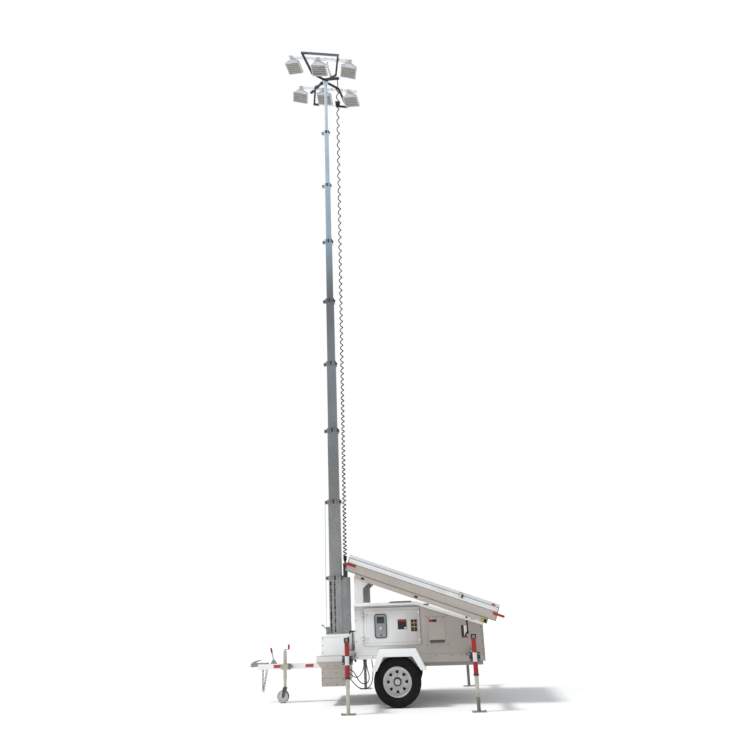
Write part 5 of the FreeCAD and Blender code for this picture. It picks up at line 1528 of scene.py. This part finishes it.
# Dark strips along the edges of the layers are painted shade in the gaps between them
for side in (-1, 1):
    for w0, w1 in ((0.0641, 0.0681), (0.1655, 0.1697), (0.2265, 0.2303)):
        solar_block(edges, side, 0.006, 2.024, 0.6975, 0.6990, w0, w1)
    solar_block(edges, side, 0.006, 1.910, 0.7001, 0.7006, 0.0560, 0.0600)
piece("strap_pockets", pockets, "gasket", bevel=0.0)
piece("solar_hardware", hardware, "brass", bevel=0.0006)
piece("solar_latches", latches, "steel", bevel=0.0006)
piece("solar_edge_lines", edges, "gap_brown", bevel=0.0)
piece("solar_markers", markers, "red_plastic", bevel=0.002)
runners = bmesh.new()
for u in (0.0, 2.025):
    for side in (-1, 1):
        for w in (0.100, 0.200):
            start_u, end_u = (u, u - 0.010) if u < 1 else (u + 0.005, u + 0.015)
            rod(runners, (start_u, side * 0.60, w), (end_u, side * 0.60, w), 0.008, 6, solar_matrix)
piece("solar_end_bolts", runners, "steel", bevel=0.0006)
print("solar fittings made")

# %% [markdown]
# ## Mast fittings
# Each collar has dark guide screws, clamp strips and a short black hook. A steel rope
# climbs from the winch over the wheels, and the foot tube has two columns of holes.

# %% Mast fittings
for number in range(1, 9):
    half = section_half(number) + COLLAR
    top = FOOT_TUBE_TOP + SECTION_EXPOSED * (number - 1)
    body = "root" if number == 1 else f"mast_{number}"
    bm = bmesh.new()
    x = MAST_X + half
    block(bm, (x, -0.016, top - 0.032), (x + 0.016, 0.000, top + 0.006))
    rod(bm, (x + 0.010, -0.030, top - 0.010), (x + 0.010, 0.012, top - 0.010), 0.0055, 12)
    for z in (top - 0.030, top + 0.002):
        for screw_x in (MAST_X - half * 0.45, MAST_X + half * 0.45):
            rod(bm, (screw_x, -half - 0.0045, z), (screw_x, -half, z), 0.0062, 6)
    block(bm, (MAST_X - 0.013, -half - 0.0025, top - 0.046), (MAST_X + 0.011, -half, top + 0.016))
    block(bm, (x - 0.012, -half - 0.0028, top - 0.046), (x + 0.0008, -half, top + 0.016))
    wheel_x = MAST_X - half - 0.024
    rod(bm, (wheel_x, -0.0195, top - 0.015), (wheel_x, 0.0195, top - 0.015), 0.0165, 20)
    piece(f"collar_fittings_{number}", bm, "black", body, bevel=0.0008)
# Black patches stand for the holes: painted shade inside the foot tube
holes = bmesh.new()
block(holes, (-0.0095, -0.0125, -0.001), (0.0095, 0.0125, 0.0012))
hole_places = [facing((MAST_X - 0.008, -0.0880, 0.885 + 0.0335 * k), (0, -1, 0)) for k in range(20)]
hole_places += [facing((MAST_X - 0.062, -0.0880, 0.870 + 0.0260 * k), (0, -1, 0), 0.5) for k in range(26)]
set_out("foot_tube_holes", holes, hole_places, "gasket", spread_size=0.25)
ROPE_RADIUS = 0.003
rope = bmesh.new()
rope_x = MAST_X - 0.144
rope_turn = (rope_x, 0.0, 1.582)
sweep(rope, [Vector(rope_turn), Vector((rope_x + 0.004, 0.0, 2.10)), Vector((rope_x + 0.008, 0.0, 2.640))],
      ROPE_RADIUS, sides=8)
upper_rope = piece("rope_upper", rope, "steel", bevel=0.0)
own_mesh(upper_rope)
rope = bmesh.new()
sweep(rope, [Vector((-0.670, 0.0, 0.905)), Vector((-0.668, 0.0, 1.20)), Vector(rope_turn)],
      ROPE_RADIUS, sides=8)
for k in range(9):
    ring = circle((-0.646, -0.034 + 0.0085 * k, 0.900), 0.0275, 24, standing=True)
    sweep(rope, ring, 0.0032, sides=6, closed=True)
piece("rope_lower", rope, "steel", bevel=0.0)
box_trim = bmesh.new()
block(box_trim, (-0.4125, -0.0945, 1.7480), (-0.3495, -0.0335, 1.7560))
rod(box_trim, (-0.381, -0.064, 1.775), (-0.381, -0.064, 1.792), 0.013, 16)
rod(box_trim, (-0.381, -0.094, 1.660), (-0.381, -0.101, 1.660), 0.009, 16)
piece("cable_box_trim", box_trim, "black", bevel=0.001)
print("rope and collars made")

# %% [markdown]
# ## Head fittings
# Cables run along the crossbars and are tied down every hand's breadth. Clamp bolts hold
# the crossbars on the frame.

# %% Head fittings
harness = bmesh.new()
bolts = bmesh.new()
for bar_y, ends in ((-0.504, (0.020, 0.470)), (0.265, (0.030, 0.400))):
    line = []
    for k in range(25):
        share = k / 24
        x = ends[0] + (ends[1] - ends[0]) * share
        line.append(head_matrix @ Vector((x, bar_y + 0.006 * math.sin(share * 40), 0.0565)))
    sweep(harness, line, 0.0055, sides=8)
    for k in range(4):
        x = ends[0] + 0.04 + (ends[1] - ends[0] - 0.08) * k / 3
        block(harness, (x - 0.004, bar_y - 0.0195, 0.030), (x + 0.004, bar_y + 0.0195, 0.0635), head_matrix)
    for x in (-0.275, -0.235, 0.235, 0.275):
        rod(bolts, (x, bar_y, 0.0510), (x, bar_y, 0.0600), 0.0075, 6, head_matrix)
drop = []
for k in range(41):
    share = k / 40
    swing = 0.014 * math.sin(share * 44)
    sag = 0.03 * math.sin(math.pi * share)
    drop.append(head_matrix @ Vector((0.095 + 0.035 * share + swing, -0.480 + 0.400 * share, 0.006 - sag)))
sweep(harness, drop, 0.005, sides=8)
for x in (-0.030, 0.030):
    for y in (-0.030, 0.030):
        rod(bolts, (x, y, 0.0150), (x, y, 0.0260), 0.0085, 6, head_matrix)
piece("head_harness", harness, "gasket", "mast_9", bevel=0.0)
piece("head_bolts", bolts, "steel", "mast_9", bevel=0.0008)
print("head fittings made")

# %% [markdown]
# ## Jacks, lights and batteries
# Each jack has a pale round button on its gearbox and a bolt row on the flange. The back of
# the trailer carries lamp clusters and reflectors, and the battery bank shows case joints
# and terminals when a door is open.

# %% Jacks and rear lights
for end, x in jack_x.items():
    for side_name, side in SIDES:
        body = f"outrigger_{end}_{side_name}"
        bm = bmesh.new()
        rod(bm, (x, side * 1.182, 0.825), (x, side * 1.1850, 0.825), 0.014, 20)
        piece(f"jack_button_{end}_{side_name}", bm, "button", body, bevel=0.0006)
        bm = bmesh.new()
        for dx in (-0.054, 0.054):
            for z in (0.562, 0.626):
                rod(bm, (x + dx, side * 1.1215, z), (x + dx, side * 1.1295, z), 0.0075, 6)
        piece(f"jack_bolts_{end}_{side_name}", bm, "steel", body, bevel=0.0008)
rear = bmesh.new()
amber = bmesh.new()
base = bmesh.new()
for side in (-1, 1):
    y0, y1 = sorted((side * 0.400, side * 0.560))
    block(base, (1.4382, y0, 0.5600), (1.4396, y1, 0.6500))
    block(rear, (1.4396, y0 + 0.006, 0.5660), (1.4420, y1 - 0.060, 0.6440))
    block(amber, (1.4396, y1 - 0.054, 0.5660), (1.4420, y1 - 0.006, 0.6440))
piece("rear_lamp_bases", base, "black", bevel=0.0006)
piece("rear_lamps_red", rear, "reflector", bevel=0.001)
piece("rear_lamps_amber", amber, "amber", bevel=0.001)
battery = bmesh.new()
terminals = []
for k in range(5):
    x = -0.060 + 0.820 / 5 * k
    if k:
        block(battery, (x - 0.0015, -0.3312, 0.6605), (x + 0.0015, 0.3312, 0.9112))
    for y in (-0.25, -0.08, 0.08, 0.25):
        terminals.append(facing((x + 0.050, y, 0.9100), (0, 0, 1)))
        terminals.append(facing((x + 0.114, y, 0.9100), (0, 0, 1)))
piece("battery_joints", battery, "gasket", bevel=0.0)
post = bmesh.new()
lathe(post, (0, 0, 0), (0, 0, 1), [(0.0, 0.012), (0.004, 0.012), (0.005, 0.008), (0.018, 0.007)], 12)
set_out("battery_terminals", post, terminals, "steel")
print("terminals:", len(terminals))
